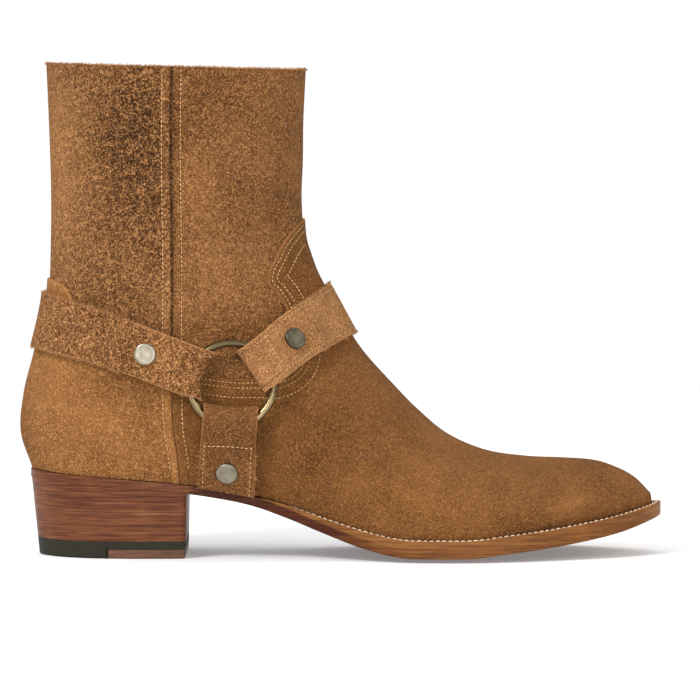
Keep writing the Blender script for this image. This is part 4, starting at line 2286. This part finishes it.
@dataclass
class Studio:
    """A pale floor, soft light and the camera."""

    camera_at: tuple[float, float, float] = (0.00403, -2.399, 0.228)
    pitch: float = 86.85
    lens: float = 262.7
    floor_size: float = 2.6
    air: float = 0.66
    glow: float = 0.2

    def build(self) -> None:
        """Builds the studio around the boot."""
        scene = bpy.context.scene
        scene.view_settings.view_transform = "Standard"
        world = bpy.data.worlds.new("studio_air")
        world.use_nodes = True
        nodes, links = world.node_tree.nodes, world.node_tree.links
        nodes["Background"].inputs[0].default_value = (1.0, 1.0, 1.0, 1.0)
        seen = nodes.new("ShaderNodeLightPath")
        level = nodes.new("ShaderNodeMapRange")
        level.inputs[3].default_value, level.inputs[4].default_value = self.air, 1.02
        links.new(seen.outputs["Is Camera Ray"], level.inputs[0])
        links.new(level.outputs[0], nodes["Background"].inputs[1])
        scene.world = world
        self._floor()
        self._lamp("key", (-1.1, -1.3, 1.6), (0.0, 0.0, 0.08), 0.6, 37)
        self._lamp("top", (0.1, 0.3, 1.8), (0.0, 0.0, 0.0), 1.5, 13)
        self._lamp("side", (1.5, -0.7, 1.1), (0.0, 0.0, 0.08), 0.8, 5)
        self._lamp("low", (0.25, -1.9, 0.35), (0.0, 0.0, 0.0), 0.9, 9)
        camera = bpy.data.cameras.new("camera")
        camera.lens, camera.sensor_width, camera.sensor_fit = self.lens, 36.0, "HORIZONTAL"
        camera.clip_start, camera.clip_end = 0.1, 60.0
        view = bpy.data.objects.new("camera", camera)
        view.location = self.camera_at
        view.rotation_euler = (math.radians(self.pitch), 0, 0)
        scene.collection.objects.link(view)
        scene.camera = view

    def _floor(self) -> None:
        """A plain pale floor that glows faintly, as a light table does."""
        half = self.floor_size / 2
        mesh = bpy.data.meshes.new("floor")
        corners = [(-half, -half, 0), (half, -half, 0), (half, half, 0), (-half, half, 0)]
        mesh.from_pydata(corners, [], [(0, 1, 2, 3)])
        s = Shader("pale_floor")
        colour = s.ramp(s.noise(60, 2), [(0.3, (0.74, 0.74, 0.74)), (0.7, (0.76, 0.76, 0.76))])
        glow = {"Emission_Color": (1.0, 1.0, 1.0, 1.0), "Emission_Strength": self.glow}
        mesh.materials.append(s.finish(colour, Roughness=0.8, Specular_IOR_Level=0.1, **glow))
        floor = bpy.data.objects.new("floor", mesh)
        bpy.context.scene.collection.objects.link(floor)
        floor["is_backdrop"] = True

    def _lamp(self, name: str, at: tuple, to: tuple, size: float, power: float) -> None:
        """A soft square lamp that faces a place."""
        light = bpy.data.lights.new(name, "AREA")
        light.shape, light.size, light.energy = "SQUARE", size, power
        lamp = bpy.data.objects.new(name, light)
        lamp.location = at
        way = np.array(to) - np.array(at)
        tilt, turn = math.acos(-way[2] / np.linalg.norm(way)), math.atan2(way[1], way[0]) - math.pi / 2
        lamp.rotation_euler = (tilt, 0, turn)
        bpy.context.scene.collection.objects.link(lamp)


class Palette:
    """The boot's finishes, by what they are used on."""

    UPPER_GROOVES = (Groove("seam", (5.6, 14.3), 20.0, 0.6),)
    PANEL_GROOVES = (Groove("seam", (5.6, 14.3), 20.0, 0.6), Groove("wing", (1.7, 4.0, 8.4), 12.0, 0.5))
    STRAP_GROOVES = (Groove("across", (2.6,), 12.0, 0.45),)

    def __init__(self) -> None:
        """Makes every material once."""
        tan = ((0.0549, 0.01864, 0.00539), (0.244, 0.09718, 0.0294), (0.5124, 0.2396, 0.08624))
        vamp = ((0.06798, 0.0241, 0.006315), (0.2266, 0.08782, 0.02345), (0.4079, 0.1778, 0.05413))
        counter = ((0.09888, 0.03688, 0.01067), (0.3399, 0.1383, 0.0388), (0.5686, 0.2593, 0.08536))
        strap = ((0.07906, 0.02678, 0.0082), (0.324, 0.1226, 0.034), (0.648, 0.3141, 0.12))
        smooth_strap = ((0.121, 0.04809, 0.01597), (0.3763, 0.1645, 0.05728), (0.672, 0.3417, 0.1377))
        short_strap = ((0.06996, 0.02552, 0.007711), (0.2332, 0.09299, 0.02864), (0.4198, 0.1882, 0.0661))
        upper, panel = self.UPPER_GROOVES, self.PANEL_GROOVES
        self.shaft = Suede("shaft_suede", *tan, grooves=upper).make()
        self.vamp = Suede("vamp_suede", *vamp, grooves=panel, mottle=0.3, contrast=1.55).make()
        self.counter = Suede("counter_suede", *counter, grooves=upper, mottle=0.36, contrast=1.8).make()
        self.strap = Suede("strap_suede", *strap, clump=1.7, crumb=1.2, contrast=1.9).make()
        front = Suede("front_strap_suede", *smooth_strap, contrast=1.9, grooves=self.STRAP_GROOVES)
        self.front_strap = front.make()
        self.down_strap = Suede("sole_strap_suede", *short_strap).make()
        self.lining = SmoothLeather("lining_leather", (0.2, 0.11, 0.055), (0.4, 0.25, 0.14)).make()
        self.sock = SmoothLeather("insole_leather", (0.26, 0.15, 0.08), (0.46, 0.3, 0.17)).make()
        sole = ((0.055, 0.011, 0.0025), (0.14, 0.047, 0.01), (0.25, 0.1, 0.025))
        stack = ((0.042, 0.01, 0.004), (0.12, 0.036, 0.0135), (0.22, 0.08, 0.03))
        tip = ((0.06, 0.028, 0.0165), (0.14, 0.066, 0.04), (0.22, 0.11, 0.068))
        self.sole = EdgeLeather("sole_leather", *sole).make()
        self.stack = EdgeLeather("heel_leather", *stack, streak=0.75, lines=0.3).make()
        self.tip = EdgeLeather("tip_leather", *tip).make()
        self.rubber = Rubber("heel_rubber", (0.019, 0.0172, 0.0096)).make()
        self.brass = Brass("ring_brass", (0.1, 0.075, 0.036), (0.36, 0.275, 0.14), 0.24).make()
        self.bright = Brass("bright_rivet", (0.2, 0.175, 0.13), (0.5, 0.45, 0.35), 0.32).make()
        self.grey = Brass("grey_rivet", (0.17, 0.15, 0.105), (0.32, 0.29, 0.215), 0.38).make()
        self.dull = Brass("dull_rivet", (0.06, 0.052, 0.033), (0.15, 0.13, 0.088), 0.36).make()
        self.thread = Thread("tan_thread", (0.48, 0.25, 0.09), (0.8, 0.49, 0.21)).make()
        self.fibre = Thread("suede_fibre", (0.22, 0.085, 0.026), (0.48, 0.235, 0.085)).make()
        self.welt_thread = Thread("pale_thread", (0.5, 0.35, 0.21), (0.8, 0.62, 0.43)).make()


class Boot:
    """The whole boot: its parts in order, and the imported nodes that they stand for."""

    def __init__(self) -> None:
        """Sets out the parts on one last."""
        self.last = Last()
        self.upper = Upper(self.last)
        self.sole = Sole(self.last)
        self.heel = Heel(self.last)
        self.harness = Harness(self.last)
        self.finishes = Palette()

    def _place(self, piece: bpy.types.Object, slot: str, *nodes: str) -> None:
        """Puts a piece on the boot's one body and reports it."""
        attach(piece, "root")
        if nodes:
            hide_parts(*nodes)
        log.info("%s: %d triangles", piece.name, sum(len(face.vertices) - 2 for face in piece.data.polygons))

    def build(self) -> None:
        """Builds every piece."""
        f = self.finishes
        self._place(self.upper.shaft([f.shaft]), "suede", "upper")
        self._place(self.upper.vamp_panel(f.vamp), "suede")
        self._place(self.upper.counter_panel(f.counter), "suede")
        self._place(self.upper.lining([f.lining]), "insole_leather")
        self._place(self.sole.outsole_piece([f.sole, f.stack]), "sole_leather", "outsole")
        self._place(self.sole.welt_piece(f.sole), "sole_leather", "welt")
        self._place(self.sole.sock(f.sock), "insole_leather", "insole")
        self._place(self.heel.stack(f.stack), "heel_leather", *[f"heel_lift_{k}" for k in range(1, 7)])
        self._place(self.heel.rubber(f.rubber), "heel_rubber", "top_piece")
        self._place(self.heel.tip_piece(f.tip), "heel_leather", "top_piece_tip")
        self._build_harness()
        self._sew()

    def _build_harness(self) -> None:
        """Builds straps, rings and rivets."""
        h, f, both = self.harness, self.finishes, (Side.LATERAL, Side.MEDIAL)
        rivets = Rivets({"rear": f.bright, "front": f.dull, "down": f.grey}, h.rivet_radius, h.rivet_height)
        self._place(h.strap(StrapKind.REAR, "heel_strap", f.strap, both, 1.0), "strap_suede", "rear_strap")
        piece = h.strap(StrapKind.FRONT, "instep_strap", f.front_strap, both, 0.3)
        self._place(piece, "strap_suede", "front_strap")
        for side in Side:
            word = side.name.lower()
            piece = h.strap(StrapKind.DOWN, f"sole_strap_{word}", f.down_strap, (side,), 0.4)
            self._place(piece, "strap_suede", f"down_strap_{word}")
            self._place(h.ring(side, f"harness_ring_{word}", f.brass), "ring_metal", f"ring_{word}")
            for kind in StrapKind:
                place, facing = h.rivet_seat(kind, side)
                piece = rivets.sew(kind.value, f"{kind.value}_stud_{word}", [(place[None], facing[None])], 1)
                self._place(piece, "ring_metal", f"{kind.value}_rivet_{word}")
        rivets.clear()

    def _sew(self) -> None:
        """Sews every row of stitches."""
        f = self.finishes
        threads = {"seam": f.thread, "wing": f.thread, "welt": f.welt_thread, "strap": f.thread}
        stitching = Stitching(threads)
        rows: dict[str, list] = {}
        for kind, places, facing in [*self.upper.guides(), *self.sole.guides(), *self.harness.guides()]:
            rows.setdefault(kind, []).append((places, facing))
        slots = {"seam": "suede", "wing": "suede", "welt": "sole_leather", "strap": "strap_suede"}
        for seed, (kind, courses) in enumerate(rows.items(), 3):
            self._place(stitching.sew(kind, f"{kind}_stitches", courses, seed), slots[kind])
        fuzz = Fuzz(dict.fromkeys(Fuzz.SIZES, f.fibre))
        edges: dict[str, list] = {}
        for kind, places, facing in [*self.upper.raw_edges(), *self.harness.raw_edges()]:
            edges.setdefault(kind, []).append((places, facing))
        for seed, (kind, courses) in enumerate(edges.items(), 21):
            slot = "strap_suede" if kind == "strap_edge" else "suede"
            self._place(fuzz.sew(kind, f"{kind}_fuzz", courses, seed), slot)


def main() -> None:
    """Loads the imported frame, dresses it and keeps its sizes."""
    logging.basicConfig(level=logging.INFO, format="%(name)s: %(message)s")
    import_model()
    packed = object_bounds()
    Studio().build()
    Boot().build()
    as_lists = lambda box: [[float(v) for v in corner] for corner in box]
    {"packed": as_lists(packed), "dressed": as_lists(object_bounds())}


if __name__ == "__main__":
    main()
